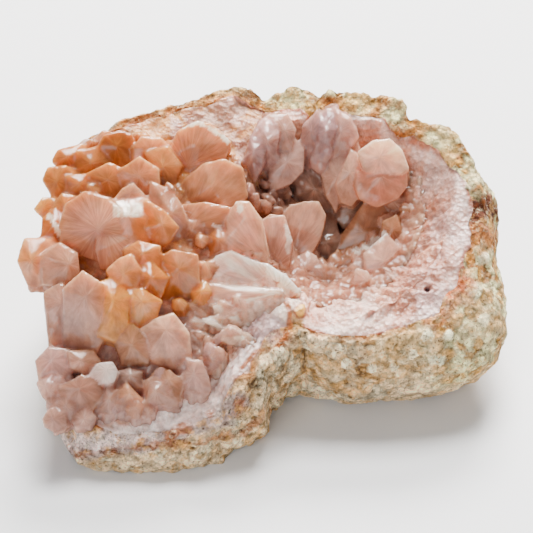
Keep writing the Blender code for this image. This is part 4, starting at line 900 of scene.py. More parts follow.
# How far the wall runs past the rind's border, the power that crowds its rows outwards, and how
# far it stays under the face and over the rind.
WALL_OVERLAP = 0.12
WALL_CROWD = 0.8
WALL_UNDERSIDE = 0.5
WALL_OVER_RIND = 0.1
LINE_RED = deep((180, 120, 92))
BAND = deep((222, 198, 188))
BAND_GREY = deep((194, 168, 160))
PINK = deep((208, 162, 138))
PINK_WHITE = deep((240, 210, 192))
PINK_DEEP = deep((182, 132, 110))
SANDY = deep((200, 150, 98))
GREY_LILAC = deep((176, 150, 156))
HONEY = deep((168, 116, 92))
# Brown of the painted shade in the pit at the left of the hollow.
PIT_SHADE = deep((150, 104, 86))
# Bands of the broken edge at the left front, from the inside out: line, half width, strength.
WHITE_BAND = [
    (-42.3, -36.8), (-37.1, -37.3), (-30.1, -36.0), (-24.9, -34.2), (-17.7, -30.5), (-11.4, -26.4),
    (-6.6, -20.8), (-3.2, -17.5),
]
GREY_BAND = [
    (-42.7, -39.0), (-25.3, -36.8), (-17.7, -34.2), (-9.7, -31.6), (-5.8, -28.6),
]
RUST_BAND = [
    (-40.1, -40.3), (-32.7, -37.7), (-25.3, -37.9), (-14.5, -37.1), (-4.5, -35.5), (-1.0, -30.8),
]
# The wedge of rind that runs up between the two halves: the line of its rusty border, its middle
# and half sizes, and its pale bead, all in the sight frame.
WEDGE_LINE = [(3.3, -5.5), (4.7, -9.0), (4.9, -10.5), (4.7, -13.8), (3.2, -16.4), (0.8, -17.7),
              (-2.3, -18.2), (-5.3, -21.6)]
WEDGE = (6.4, -11.6)
WEDGE_HALF = (1.7, 2.8)
WEDGE_SAND = deep((186, 148, 94))
BEAD = (7.1, -9.8)
BEAD_RADIUS = 1.3
BEAD_LIFT = 0.9
BEAD_YELLOW = deep((250, 198, 104))
# The white fibrous ridge between the two halves: soft half width, lift and line (u, v).
RIDGE_HALF = (0.9, 3.6)
RIDGE_LIFT = 0.7
RIDGE = [(-15.0, 2.2), (-12.6, 1.0), (-8.4, -0.8), (-3.6, -3.6), (1.6, -7.0), (5.4, -9.8)]
WALL_ZONES = [
    (-2.0, -13.0, 6.5, (156, 130, 128), 0.9), (-10.5, -8.0, 6.5, (246, 220, 208), 0.85),
    (-5.5, -4.6, 3.0, (236, 210, 198), 0.6), (36.0, -8.0, 6.0, (198, 176, 174), 0.6),
    (41.0, 8.0, 7.0, (206, 184, 180), 0.6), (40.0, 19.0, 7.0, (206, 184, 176), 0.5),
    (18.0, -11.5, 8.0, (240, 216, 204), 0.7), (12.0, -3.0, 7.0, (222, 172, 148), 0.6),
    (30.0, 8.0, 7.0, (190, 140, 118), 0.55), (33.0, -2.0, 6.0, (196, 152, 136), 0.5),
    (28.0, 17.0, 6.0, (192, 146, 128), 0.5), (-20.0, -26.0, 6.0, (216, 178, 166), 0.5),
    (-24.0, -33.0, 7.0, (230, 208, 202), 0.6), (-40.0, -36.0, 6.0, (226, 204, 200), 0.6),
    (1.6, -13.0, 4.0, (194, 168, 164), 0.8), (6.0, -8.0, 3.5, (238, 204, 188), 0.7),
    (-24.0, 28.0, 6.0, (222, 176, 122), 0.6), (-8.0, 33.0, 5.0, (190, 158, 150), 0.6),
    (-2.0, 26.0, 4.0, (176, 130, 100), 0.5), (-12.0, 33.5, 6.0, (186, 148, 122), 0.6),
]
RIDGE_WHITE = deep((255, 215, 198), 1.05)
BAND_WHITE = deep((234, 212, 204), 1.2)
# The pinhole: place in the sight frame, soft edge from its middle, and depth; the dark inside it
# is painted shade.
PINHOLE = (34.5, -4.8)
PINHOLE_EDGE = (0.35, 0.9)
PINHOLE_DEPTH = 1.2
PINHOLE_SHADE = deep((96, 52, 62))
# The pit at the left of the hollow: middle and half sizes in the picture.
PIT_AT = (4.5, 14.6, 10.0, 4.6)
# Places that the fibres of the right and the left half run out from.
FIBRES_RIGHT = (13.0, 8.0)
FIBRES_LEFT = (-24.0, -2.0)


def pit_share(points):
    """1 in the pit at the left of the hollow, where brown is painted as shade, 0 outside."""
    u, v = sight_place(points)
    reach = np.hypot((u - PIT_AT[0]) / PIT_AT[2], (v - PIT_AT[1]) / PIT_AT[3])
    return 1.0 - smooth(reach + 0.1 * layered(points, 2.0, 2, 79), 0.7, 1.1)


def fibre_frame(x, y):
    """Place along and across the fibres, which stand square to the rind."""
    spots = on_plan(x, y)
    left = smooth(-x, 0.0, 12.0)
    pivot_x = FIBRES_RIGHT[0] * (1.0 - left) + FIBRES_LEFT[0] * left
    pivot_y = FIBRES_RIGHT[1] * (1.0 - left) + FIBRES_LEFT[1] * left
    away_x, away_y = x - pivot_x, y - pivot_y
    turn = np.arctan2(away_y, away_x) + 0.12 * noise(spots, 7.0, 61)
    out = np.hypot(away_x, away_y)
    return turn, out


def wall_relief(x, y, depth):
    """Lift of the face by blocks and fibres, and the numbers of each block."""
    turn, out = fibre_frame(x, y)
    big, numbers = druse(turn * 20.0, out * 0.55, 3.1, 62, 0.95, 0.7)
    small, small_numbers = druse(turn * 24.0, out * 0.6, 1.25, 63, 0.9, 0.8)
    hair = noise(on_plan(turn * 60.0, out * 0.7), 1.0, 64)
    chips = druse(turn * 30.0, out * 0.9, 0.8, 67, 0.8, 0.9)[0]
    spots = on_plan(x, y)
    back = smooth(y, 12.0, 17.0) * smooth(-x, -4.0, 2.0)
    rough = smooth(depth, 1.5, 6.0)
    sandy = 0.7 * layered(spots, 3.0, 4, 65)
    blocks = 0.55 * (big + 0.6) + 0.6 * small + 0.5 * chips + 0.12 * hair
    calm = 0.25 * layered(spots, 2.2, 3, 66)
    lift = (rough * blocks + (1.0 - rough) * calm) * (1.0 - back) + back * sandy
    return lift, numbers, small_numbers, rough, back


def wall_colours(x, y, depth, lift, numbers, small_numbers, rough, back):
    """Pink blocks with paler tops, sandy at the back, banded grey and red towards the rind."""
    spots = on_plan(x, y)
    broad = layered(spots, 12.0, 3, 71)
    fine = layered(spots, 2.4, 3, 72)
    colour = mixed(PINK, PINK_DEEP, smooth(broad + 0.5 * numbers[:, 0] - 0.9 * lift, -0.4, 1.2))
    pale = smooth(0.8 * lift + 0.35 * small_numbers[:, 2] + 0.3 * fine, 0.25, 1.1)
    colour = mixed(colour, PINK_WHITE, pale * rough * 0.5)
    share = reach_share(x, y)
    colour = mixed(colour, HONEY, (1.0 - smooth(share + 0.1 * fine, 0.25, 0.6)) * 0.6)
    colour = mixed(colour, SANDY, back * (0.9 + 0.1 * fine))
    lilac = back * smooth(layered(spots, 5.0, 3, 74), 0.3, 0.7)
    colour = mixed(colour, GREY_LILAC, lilac * 0.5)
    crumbs = back * smooth(layered(spots, 1.8, 3, 76), 0.35, 0.7)
    colour = mixed(colour, GOLDEN, crumbs * 0.7)
    specks = back * smooth(-layered(spots, 1.6, 3, 78), 0.4, 0.8)
    colour = mixed(colour, EARTH_AND_SHADE, specks * 0.5)
    wide = 1.8 + 1.3 * layered(spots, 5.0, 3, 75)
    wide = wide + 4.6 * np.exp(-((x + 8.0) / 12.0) ** 2 - ((y + 30.0) / 9.0) ** 2)
    inside = smooth(depth + 0.5 * fine, wide * 0.55, wide * 1.6)
    grey = 1.0 - smooth(depth + 0.7 * fine, wide * 0.1, wide * 0.75)
    band = mixed(BAND, BAND_GREY, grey)
    mottled = smooth(layered(spots, 1.3, 3, 82), -0.1, 0.5)
    band = mixed(band, PINK, 0.6 * mottled)
    colour = mixed(band, colour, np.maximum(inside, back))
    thick = 0.25 + 0.5 * layered(spots, 5.0, 2, 77)
    line = smooth(depth + 0.45 * fine, thick * 0.4, thick * 1.8 + 0.1)
    return mixed(LINE_RED, colour, np.maximum(line, 1.0 - smooth(thick, 0.0, 0.3)))


def make_wall():
    """The broken face inside the rind, closed below along the rind's inner skin."""
    angles = np.linspace(-math.pi, math.pi, WALL_COUNT + 1)[:-1]
    line = line_radius(angles) + WALL_OVERLAP
    rows = []
    for row in range(1, WALL_ROWS + 1):
        share = (row / WALL_ROWS) ** WALL_CROWD
        x, y = plan_spot(angles, line * share)
        rows.append(np.stack([x, y, face_height(x, y)], axis=1))
    top = len(rows) * WALL_COUNT
    steps = at_angle(LINE_STEPS, angles)
    for row in range(1, WALL_UNDER + 1):
        share = row / WALL_UNDER
        radius, height = swept(angles, steps * (1.0 - share), True)
        x, y = plan_spot(angles, np.maximum(radius, 0.5))
        height = np.minimum(height, face_height(x, y) - WALL_UNDERSIDE)
        rows.append(np.stack([x, y, height], axis=1))
    centre_x, centre_y = PLAN_CENTRE
    middle = face_height(np.array([centre_x]), np.array([centre_y]))[0]
    points = np.concatenate([[[centre_x, centre_y, middle]], *rows,
                             [[centre_x, centre_y, RIND_BELOW + WALL_OVER_RIND]]])
    faces = tube_faces(len(rows), WALL_COUNT)
    x, y, _ = points.T
    depth = at_angle(LINE_RADIUS, around(x, y)) - np.hypot(x - centre_x, y - centre_y)
    lift, numbers, small_numbers, rough, back = wall_relief(x, y, depth)
    colours = wall_colours(x, y, depth, lift, numbers, small_numbers, rough, back)
    cloud = layered(points, 2.4, 3, 80)
    colours = zoned(points, colours, WALL_ZONES, cloud * 2.0)
    colours = banded(points, colours, layered(points, 2.0, 4, 42))
    # Painted shade in the pit.
    colours = mixed(colours, PIT_SHADE, 0.85 * pit_share(points))
    turn, out = fibre_frame(x, y)
    grain = on_plan(turn * 26.0, out * 0.22)
    grain = np.where(back[:, None] > 0.4, points * 1.1, grain)
    away, along = beside(points, RIDGE)
    strand = noise(on_plan(away * 1.3, along * 0.3), 1.0, 81)
    ridge = (1.0 - smooth(away + 0.9 * cloud, *RIDGE_HALF)) * smooth(along, 0.0, 3.0)
    colours = mixed(colours, RIDGE_WHITE, ridge * (0.75 + 0.4 * strand))
    colours = wedged(points, colours, 0.5 * cloud)
    lift = lift * (1.0 - 0.3 * ridge) + ridge * (RIDGE_LIFT + 0.2 * strand)
    under = 1.0 - smooth(oval_share(x, y, MOUND_FOOT, MOUND_REACH), 0.8, 0.95)
    lift = lift * (1.0 - under) - UNDER_MOUND * under
    u, v = sight_place(points)
    hole = 1.0 - smooth(np.hypot(u - PINHOLE[0], v - PINHOLE[1]), *PINHOLE_EDGE)
    # Painted shade inside the pinhole.
    colours = mixed(colours, PINHOLE_SHADE, hole)
    lift = lift - PINHOLE_DEPTH * hole
    bead = np.maximum(1.0 - np.hypot(u - BEAD[0], v - BEAD[1]) / BEAD_RADIUS, 0.0)
    lift = lift + BEAD_LIFT * np.sqrt(bead)
    normals = normals_of(points, faces)
    if normals[0, 2] < 0.0:
        faces = faces[:, ::-1]
        normals = -normals
    lift[top + 1:] = 0.0
    points = points + normals * lift[:, None]
    mesh_piece("quartz_face", points, faces, colours, grain, wall_material(), "quartz_wall")


# ---------------------------------------------------------------- crystals

# Fibres: how wide those of a ray are, and how many a turn and how far drawn out in a fan.
RAY_PITCH = 1.8
FAN_PITCH = (8.0, 0.16)
VEIN_PITCH = (9.0, 0.12)
OWN_START = 7.3
CORNER_SPREAD = 0.14
STEEPNESS = 0.85
ROOT = 5.0
# Least and varying share of the steepness of a plane that isn't given.
PLANE_LEAST = 0.55
PLANE_VARY = 0.9
# A grown crystal: sides, length of its point in radii, how much its corners vary, and its root.
SIDES = 6
POINT_SHARE = 1.05
TURN_WOBBLE = 0.1
REACH_WOBBLE = 0.12
LOW_WOBBLE = 0.15
TIP_WOBBLE = 0.12
GROWN_ROOT_SHARE = 0.85
GROWN_ROOT = 2.5
SLANT = np.array([0.3, 0.8, 0.5])
TOWARDS_CAMERA = np.array([0.0, -0.77, 0.64])
# Shares by which red, green and blue change: warm upper part, tawny corner; tones of the painted
# shade in the gaps and of the painted glow away from the tips.
UPPER_SHIFT = np.array([-0.04, -0.13, -0.27])
TAWNY_SHIFT = np.array([-0.14, -0.1, -0.12])
GAP_SHADE_TONE = np.array([0.66, 0.58, 0.52])
PAINTED_GLOW_TONE = np.array([0.98, 0.8, 0.6])
CLOUD_PALE = deep((240, 206, 186))
COMB_TONES = [ROSE, LILAC, MAUVE, PALE, ROSE]
GAP_TONES = [ORANGE, MAUVE, PEACH, BROWN]
BLADE_TONES = [(246, 214, 198), (238, 198, 180), (224, 182, 164), (212, 174, 162)]
# Tones of the small crystals in the pit, darkened as painted shade.
PIT_SHADE_TONES = [(140, 100, 84), (126, 88, 74), (158, 118, 98)]
CRUST_TONES = [BROWN, ROSE, MAUVE, (222, 178, 160)]
DARK_LOW = deep((120, 84, 70))
DARK_HIGH = deep((166, 120, 98))
# Small crystals: how many are tried, and from where to where (u or v) they stand.
COMB_COUNT = 64
COMB_ACROSS = (-46.0, -9.0)
COMB_FOOT = [(-25.0, -33.0), (-17.7, -28.4), (-11.2, -24.0), (-5.8, -16.0)]
COMB_RISE = 8.0
BLADE_COUNT = 26
BLADE_ACROSS = (-18.0, -2.0)
BLADE_UP = (-17.0, -9.5)
GAP_COUNT = 60
GAP_ACROSS = (-46.0, -6.0)
GAP_UP = (-14.0, 28.0)
# Parts of the mound without points in the gaps: u from, u to, v from, v to.
GAP_CLEAR = [(-12.0, 0.0, -20.0, 4.0), (-50.0, -40.0, 24.0, 30.0), (-19.0, 0.0, 9.0, 30.0)]
PIT_COUNT = 70
PIT_ACROSS = (-5.0, 15.0)
PIT_UP = (9.0, 19.0)
CRUST_COUNT = 120
# Body under the crystals: points round it, rows, how thick it is below and how far its edge sinks.
LENS_COUNT = 72
LENS_ROWS = 24
LENS_UNDER = 1.8
LENS_EDGE = 0.6
# How near a facet a point of the skin is drawn onto it, and how far it is softened in a turn.
SNAP = 0.8
SOFTEN = 0.6
# Size of the skin's small faces and turns of softening.
MOUND_VOXEL = 0.455
MOUND_TURNS = 1
DRUSE_VOXEL = 0.33
DRUSE_TURNS = 2
RANDOM_SEED = 12


def unit(vector):
    return vector / np.linalg.norm(vector)


def hull(points):
    """Corner points, triangles and face planes of the smallest convex body round the points."""
    work = bmesh.new()
    for spot in points:
        work.verts.new(spot.tolist())
    bmesh.ops.convex_hull(work, input=work.verts)
    bmesh.ops.delete(work, geom=[v for v in work.verts if not v.link_faces], context="VERTS")
    bmesh.ops.triangulate(work, faces=work.faces)
    bmesh.ops.recalc_face_normals(work, faces=work.faces)
    work.verts.index_update()
    corners = np.array([vert.co[:] for vert in work.verts])
    faces = np.array([[vert.index for vert in face.verts] for face in work.faces])
    work.free()
    a, b, c = (corners[faces[:, k]] for k in range(3))
    flat = np.cross(b - a, c - a)
    flat /= np.maximum(np.linalg.norm(flat, axis=1), 1e-9)[:, None]
    if ((a - corners.mean(axis=0)) * flat).sum() < 0.0:
        flat = -flat
    return corners, faces, flat, (flat * a).sum(axis=1)


def traced_crystal(row, height, index):
    """A crystal whose corners are given in the sight frame, with a point of four planes."""
    (tip_u, tip_v), rise, steep, (lean_u, lean_v), ring_at, colour, *planes = row
    corners = np.array(ring_at)
    corners = corners + (corners - corners.mean(axis=0)) * CORNER_SPREAD
    steep = steep * STEEPNESS
    w = seat(tip_u, tip_v, height) + rise
    tip = to_world(tip_u, tip_v, w)
    numbers = hashed(np.array([[index, 3, 5], [index, 4, 6]]), 17).ravel()
    if not planes:
        planes = [[((side + numbers[0] + 0.25 * numbers[side + 1]) * 90.0,
                    PLANE_LEAST + PLANE_VARY * numbers[(side * 2 + 1) % 6])
                   for side in range(4)]]
    drop = np.zeros(len(corners))
    for degrees, share in planes[0]:
        turn = math.radians(degrees)
        grade = steep * share
        away = (corners[:, 0] - tip_u) * math.cos(turn) + (corners[:, 1] - tip_v) * math.sin(turn)
        drop = np.maximum(drop, grade * away)
    shoulder = to_world(corners[:, 0], corners[:, 1], w - drop)
    axis = unit(to_world(lean_u, lean_v, 1.0) - to_world(0.0, 0.0, 0.0))
    root = shoulder - axis * (rise + ROOT)
    return hull(np.concatenate([[tip], shoulder, root])), deep(colour)


def picked(tones, rng):
    return deep(tones[rng.integers(len(tones))])


def grown_crystal(spot, axis, radius, rise, colour, rng, flat=1.0):
    """A small six-sided point standing on a spot."""
    axis = unit(axis)
    side = unit(np.cross(axis, SLANT))
    other = np.cross(axis, side) * flat
    turn = rng.random() * FULL
    angles = turn + np.arange(SIDES) * FULL / SIDES + rng.normal(0.0, TURN_WOBBLE, SIDES)
    reach = radius * (1.0 + rng.normal(0.0, REACH_WOBBLE, SIDES))[:, None]
    around_axis = (np.cos(angles)[:, None] * side + np.sin(angles)[:, None] * other) * reach
    low = rise - radius * POINT_SHARE * (1.0 + rng.normal(0.0, LOW_WOBBLE, SIDES))[:, None]
    tip = spot + axis * rise + (side * rng.normal() + other * rng.normal()) * radius * TIP_WOBBLE
    shoulder = spot + around_axis + axis * low
    root = spot + around_axis * GROWN_ROOT_SHARE - axis * GROWN_ROOT
    return hull(np.concatenate([[tip], shoulder, root])), colour


def surface_axis(x, y, height):
    """Direction square to a height field."""
    slope_x = (height(x + 0.3, y) - height(x - 0.3, y)) / 0.6
    slope_y = (height(x, y + 0.3) - height(x, y - 0.3)) / 0.6
    return np.array([-float(slope_x), -float(slope_y), 1.0])


def depths(points, shapes):
    """How far each point is outside the joined crystals, with normal, crystal and facet."""
    depth = np.full(len(points), 1e6)
    normal = np.zeros_like(points)
    owner = np.full(len(points), -1)
    facet = np.zeros(len(points), int)
    for index, ((corners, _, flat, offset), _) in enumerate(shapes):
        low = corners.min(axis=0) - 1.5
        high = corners.max(axis=0) + 1.5
        near = np.nonzero(((points > low) & (points < high)).all(axis=1))[0]
        if len(near) == 0:
            continue
        value = points[near] @ flat.T - offset
        face = value.argmax(axis=1)
        value = value[np.arange(len(near)), face]
        better = value < depth[near]
        kept = near[better]
        depth[kept] = value[better]
        normal[kept] = flat[face[better]]
        owner[kept] = index
        facet[kept] = face[better]
    return depth, normal, owner, facet


def lens(centre, reach, lift):
    """A shallow body lying on the broken face, in points and triangles."""
    angles = np.arange(LENS_COUNT) * FULL / LENS_COUNT
    points = [[*centre, 0.0]]
    ups = [1.0]
    for row in range(1, LENS_ROWS + 1):
        share = row / LENS_ROWS
        out = 1.0 - abs(1.0 - 2.0 * share) if share > 0.5 else 2.0 * share
        out = max(min(out, 1.0), 0.02)
        points.extend(on_plan(*oval_spot(angles, out, centre, reach)).tolist())
        ups.extend([1.0 if share <= 0.5 else 0.0] * LENS_COUNT)
    points.append([*centre, 0.0])
    ups.append(0.0)
    points = np.array(points)
    up = np.array(ups)
    x, y = points[:, 0], points[:, 1]
    taper = 1.0 - smooth(oval_share(x, y, centre, reach), 0.75, 1.0)
    top = lift(x, y) * taper - LENS_EDGE * (1.0 - taper)
    points[:, 2] = face_height(x, y) + np.where(up > 0.5, top, -LENS_UNDER)
    return points, tube_faces(LENS_ROWS, LENS_COUNT)


def joined(name, shapes, base, voxel):
    """All the crystals and their base as one even skin of small triangles."""
    points = [base[0]]
    faces = [base[1]]
    total = len(base[0])
    for (corners, triangles, _, _), _ in shapes:
        points.append(corners)
        faces.append(triangles + total)
        total += len(corners)
    mesh = bpy.data.meshes.new(name)
    mesh.from_pydata((np.concatenate(points) * MM).tolist(), [], np.concatenate(faces).tolist())
    work = bmesh.new()
    work.from_mesh(mesh)
    bmesh.ops.recalc_face_normals(work, faces=work.faces)
    work.to_mesh(mesh)
    work.free()
    item = bpy.data.objects.new(name, mesh)
    bpy.context.scene.collection.objects.link(item)
    step = item.modifiers.new("even", "REMESH")
    step.mode = "VOXEL"
    step.voxel_size = voxel * MM
    graph = bpy.context.evaluated_depsgraph_get()
    done = bpy.data.meshes.new_from_object(item.evaluated_get(graph))
    bpy.data.objects.remove(item)
    done.calc_loop_triangles()
    spots = np.empty(len(done.vertices) * 3)
    done.vertices.foreach_get("co", spots)
    corners = np.empty(len(done.loop_triangles) * 3, np.int32)
    done.loop_triangles.foreach_get("vertices", corners)
    return spots.reshape(-1, 3) / MM, corners.reshape(-1, 3).astype(int)


def crystal_skin(points, shapes, base_height):
    """Points moved onto the flat facets, with their crystal, facet and place over the base."""
    for _ in range(3):
        depth, normal, owner, facet = depths(points, shapes)
        over = (points[:, 2] - base_height(points[:, 0], points[:, 1])) * 0.8
        loose = (depth < over) & (np.abs(depth) < SNAP) & (owner >= 0)
        points = points - np.where(loose, depth, 0.0)[:, None] * normal
    return points, owner, facet, loose, over


def softened(points, faces, turns):
    """Points drawn towards the middle of their neighbours, which rounds the edges a little."""
    pairs = np.concatenate([faces[:, [0, 1]], faces[:, [1, 2]], faces[:, [2, 0]]])
    for _ in range(turns):
        total = np.zeros_like(points)
        count = np.zeros(len(points))
        np.add.at(total, pairs[:, 0], points[pairs[:, 1]])
        np.add.at(count, pairs[:, 0], 1.0)
        points = points + SOFTEN * (total / np.maximum(count, 1.0)[:, None] - points)
    return points


def crystal_frames(shapes, tips):
    """Two directions square to the axis of each crystal."""
    axis = np.array(tips) - np.array([corners.mean(axis=0) for (corners, _, _, _), _ in shapes])
    axis /= np.linalg.norm(axis, axis=1)[:, None]
    side = np.cross(axis, SLANT)
    side /= np.linalg.norm(side, axis=1)[:, None]
    return side, np.cross(axis, side)


def blended_tints(points, shapes):
    """The crystals' tints run together, by nearness to the middle of each."""
    total = np.zeros_like(points)
    weight = np.zeros(len(points))
    for (corners, _, _, _), colour in shapes:
        away = ((points - corners.mean(axis=0)) ** 2).sum(axis=1)
        share = 1.0 / (away + 12.0) ** 2
        total += share[:, None] * colour
        weight += share
    return total / weight[:, None]


def crystal_colours(points, shapes, owner, facet, loose, over, base_colours, tips, count):
    """Each crystal's own tint run into its neighbours', deeper in the gaps as painted shade, with
    a painted glow away from the tips and painted highlights.
    """
    own = np.array([colour for _, colour in shapes])
    tip = np.array(tips)
    index = np.maximum(owner, 0)
    white = smooth(own[index].min(axis=1), 0.34, 0.5)
    colour = mixed(blended_tints(points, shapes[:count]), own[index], 0.6 + 0.4 * white)
    numbers = hashed(np.stack([owner, facet, owner + facet], axis=1), 91)
    colour = colour * (0.94 + 0.12 * numbers[:, :1])
    zone = np.linalg.norm(points - tip[index], axis=1)
    cloud = layered(points, 3.2, 3, 92)
    colour = mixed(colour, CLOUD_PALE, 0.15 * smooth(cloud, 0.1, 0.9))
    colour = zoned(points, colour, GLOWS, cloud)
    points_u, points_v = sight_place(points)
    # Painted highlights: a shining facet and glints along edges, painted white.
    across = np.abs(points_u - SHINE[0]) / SHINE[2]
    up = np.abs(points_v - SHINE[1]) / SHINE[3]
    shine = 1.0 - smooth(np.maximum(across + 0.12 * cloud, up), 0.82, 1.0)
    stripes = noise(points * np.array([3.2, 0.3, 0.3]), 1.0, 89)
    colour = mixed(colour, HIGHLIGHT_WHITE, shine * (0.68 + 0.6 * stripes))
    for width, strength, line in GLINT_LINES:
        reach = beside(points, line)[0] / width + 0.9 * layered(points * STRIPED, 1.0, 3, 93)
        colour = mixed(colour, HIGHLIGHT_WHITE, strength * (1.0 - smooth(reach, 0.5, 1.1)))
    # Painted glow: deeper and warmer away from each tip, as of light shining through the crystal.
    colour = mixed(colour, colour * PAINTED_GLOW_TONE, smooth(zone + 2.0 * cloud, 3.5, 12.0) * 0.5)
    upper = smooth(points_v, -12.0, -2.0) * (1.0 - 0.5 * smooth(points_u, -19.0, -12.0))
    upper = (upper * (1.0 - white))[:, None]
    colour = colour * (1.0 + upper * UPPER_SHIFT)
    tawny = smooth(points_v, 10.0, 17.0) * smooth(-points_u, 26.0, 31.0)
    colour = colour * (1.0 + tawny[:, None] * TAWNY_SHIFT)
    # Painted shade: darker low down in the gaps between the crystals.
    low = 1.0 - smooth(over + 1.2 * cloud, 0.4, 3.4)
    colour = mixed(colour, colour * GAP_SHADE_TONE, low * 0.45)
    return np.where(loose[:, None], colour, base_colours)


def fan_grain(points_u, points_v, fan, pitch, stretch, start):
    """Fibres that run out from a place in the picture."""
    turn = np.arctan2(points_v - fan[1], points_u - fan[0])
    out = np.hypot(points_u - fan[0], points_v - fan[1])
    return np.stack([pitch * np.cos(turn), pitch * np.sin(turn), stretch * out + start], axis=1)


def make_crystals(name, node, rows, fans, veined, extra, height, base, base_height, paint_base,
                  material, voxel, turns):
    """Traced crystals and small ones on their base as one piece, with fibres out from each tip."""
    traced = [traced_crystal(row, height, index) for index, row in enumerate(rows)]
    shapes = traced + extra
    tips = [corners[np.argmax((corners - corners.mean(axis=0)) @ TOWARDS_CAMERA)]
            for (corners, _, _, _), _ in shapes]
    points, faces = joined(name, shapes, base, voxel)
    points, owner, facet, loose, over = crystal_skin(points, shapes, base_height)
    base_lift, base_numbers = druse(points[:, 0], points[:, 1], 1.5, 97, 0.9, 0.9)
    colours = crystal_colours(points, shapes, owner, facet, loose, over,
                              paint_base(points, base_numbers), tips, len(traced))
    side, other = crystal_frames(shapes, tips)
    index = np.maximum(owner, 0)
    away = points - np.array(tips)[index]
    right = (away * side[index]).sum(axis=1)
    up = (away * other[index]).sum(axis=1)
    zone = np.linalg.norm(away, axis=1)
    spread = np.maximum(np.hypot(right, up), 0.1) / RAY_PITCH
    fibres = np.stack([right / spread, up / spread, 0.25 * zone + OWN_START * index], axis=1)
    points_u, points_v = sight_place(points)
    for number, fan in fans.items():
        mine = owner == number
        fan_fibres = fan_grain(points_u, points_v, fan, *FAN_PITCH, OWN_START * number)
        fibres = np.where(mine[:, None], fan_fibres, fibres)
        if number in veined:
            vein = noise(fan_grain(points_u, points_v, fan, *VEIN_PITCH, 0.0), 1.0, 88)
            colours = mixed(colours, RIDGE_WHITE, smooth(vein, 0.0, 0.5) * (loose & mine) * 0.7)
    grain = np.where(loose[:, None], fibres, points * 0.6)
    points = softened(points, faces, turns)
    normals = normals_of(points, faces)
    own = np.array([colour for _, colour in shapes])
    dull = 1.0 - smooth(own[index].max(axis=1) - own[index].min(axis=1), 0.2, 0.32)
    lift = (0.05 + 0.3 * dull) * layered(points, 2.4, 2, 95) + 0.12 * layered(points, 5.0, 2, 99)
    lift = lift + np.where(loose, 0.0, 0.6 * (base_lift + 0.4) + 0.2 * layered(points, 1.5, 3, 96))
    points = points + normals * lift[:, None]
    mesh_piece(name, points, faces, colours, grain, material, node)


def mound_base_colours(points, numbers):
    """Warm between the upper crystals, rosy at the foot, pink towards the ridge."""
    share = smooth(layered(points, 4.0, 3, 94), -0.4, 0.6)
    warm = mixed(deep(ORANGE), deep(BROWN), share)
    rosy = mixed(deep(ROSE), deep(MAUVE), share)
    low = smooth(-points[:, 1], 6.0, 16.0)
    colour = mixed(warm, rosy, low)
    sight_v = sight_place(points)[1]
    right = smooth(points[:, 0] + 0.3 * sight_v, -22.0, -17.0) * smooth(-sight_v, -6.0, 0.0)
    colour = mixed(colour, mixed(PINK, PINK_WHITE, numbers[:, 1]), right)
    return colour * (0.8 + 0.3 * numbers[:, 2:])


def hollow_base_colours(points, numbers):
    """Brown at the floor, with painted shade in the pit, pink towards the edge."""
    share = reach_share(points[:, 0], points[:, 1]) + 0.08 * layered(points, 3.0, 3, 98)
    dark = mixed(DARK_LOW, DARK_HIGH, numbers[:, 2])
    pink = mixed(PINK_DEEP, PINK, numbers[:, 2])
    colour = mixed(dark, pink, smooth(share, 0.25, 0.6))
    # Painted shade in the pit.
    return mixed(colour, dark * 0.8, pit_share(points))


def mound_small(rng):
    """Blades standing in a comb along the foot of the mound, their points upwards."""
    made = []
    for _ in range(COMB_COUNT):
        u = rng.uniform(*COMB_ACROSS)
        v = np.interp(u, *zip(*COMB_FOOT)) + rng.uniform(0.0, COMB_RISE)
        w = seat(u, v, seat_height)
        spot = to_world(u, v, w - 0.8)
        axis = to_world(rng.normal(0.0, 0.2), rng.uniform(0.8, 1.2), 0.75) - to_world(0, 0, 0)
        radius = rng.uniform(0.9, 1.5)
        colour = picked(COMB_TONES, rng)
        made.append(grown_crystal(spot, axis, radius, radius * rng.uniform(3.0, 4.4), colour, rng))
    return made


def septum_blades(rng):
    """Flat pale blades fanned out from the white ridge towards the mound."""
    made = []
    for _ in range(BLADE_COUNT):
        u = rng.uniform(*BLADE_ACROSS)
        v = rng.uniform(*BLADE_UP)
        w = seat(u, v, face_height)
        spot = to_world(u, v, w - 0.2)
        axis = to_world(rng.uniform(-1.0, -0.6), rng.uniform(0.2, 0.7), 0.3) - to_world(0, 0, 0)
        radius = rng.uniform(1.0, 1.5)
        colour = picked(BLADE_TONES, rng)
        made.append(grown_crystal(spot, axis, radius, rng.uniform(4.0, 7.0), colour, rng, 0.6))
    return made


def mound_gaps(rng):
    """Points in the gaps between the large ones."""
    made = []
    for _ in range(GAP_COUNT):
        u = rng.uniform(*GAP_ACROSS)
        v = rng.uniform(*GAP_UP)
        if any(u0 < u < u1 and v0 < v < v1 for u0, u1, v0, v1 in GAP_CLEAR):
            continue
        w = seat(u, v, seat_height)
        spot = to_world(u, v, w)
        axis = surface_axis(spot[0], spot[1], seat_height) + rng.normal(0.0, 0.4, 3)
        radius = rng.uniform(1.8, 3.2)
        colour = picked(GAP_TONES, rng)
        made.append(grown_crystal(spot, axis, radius, rng.uniform(3.0, 6.0), colour, rng))
    return made


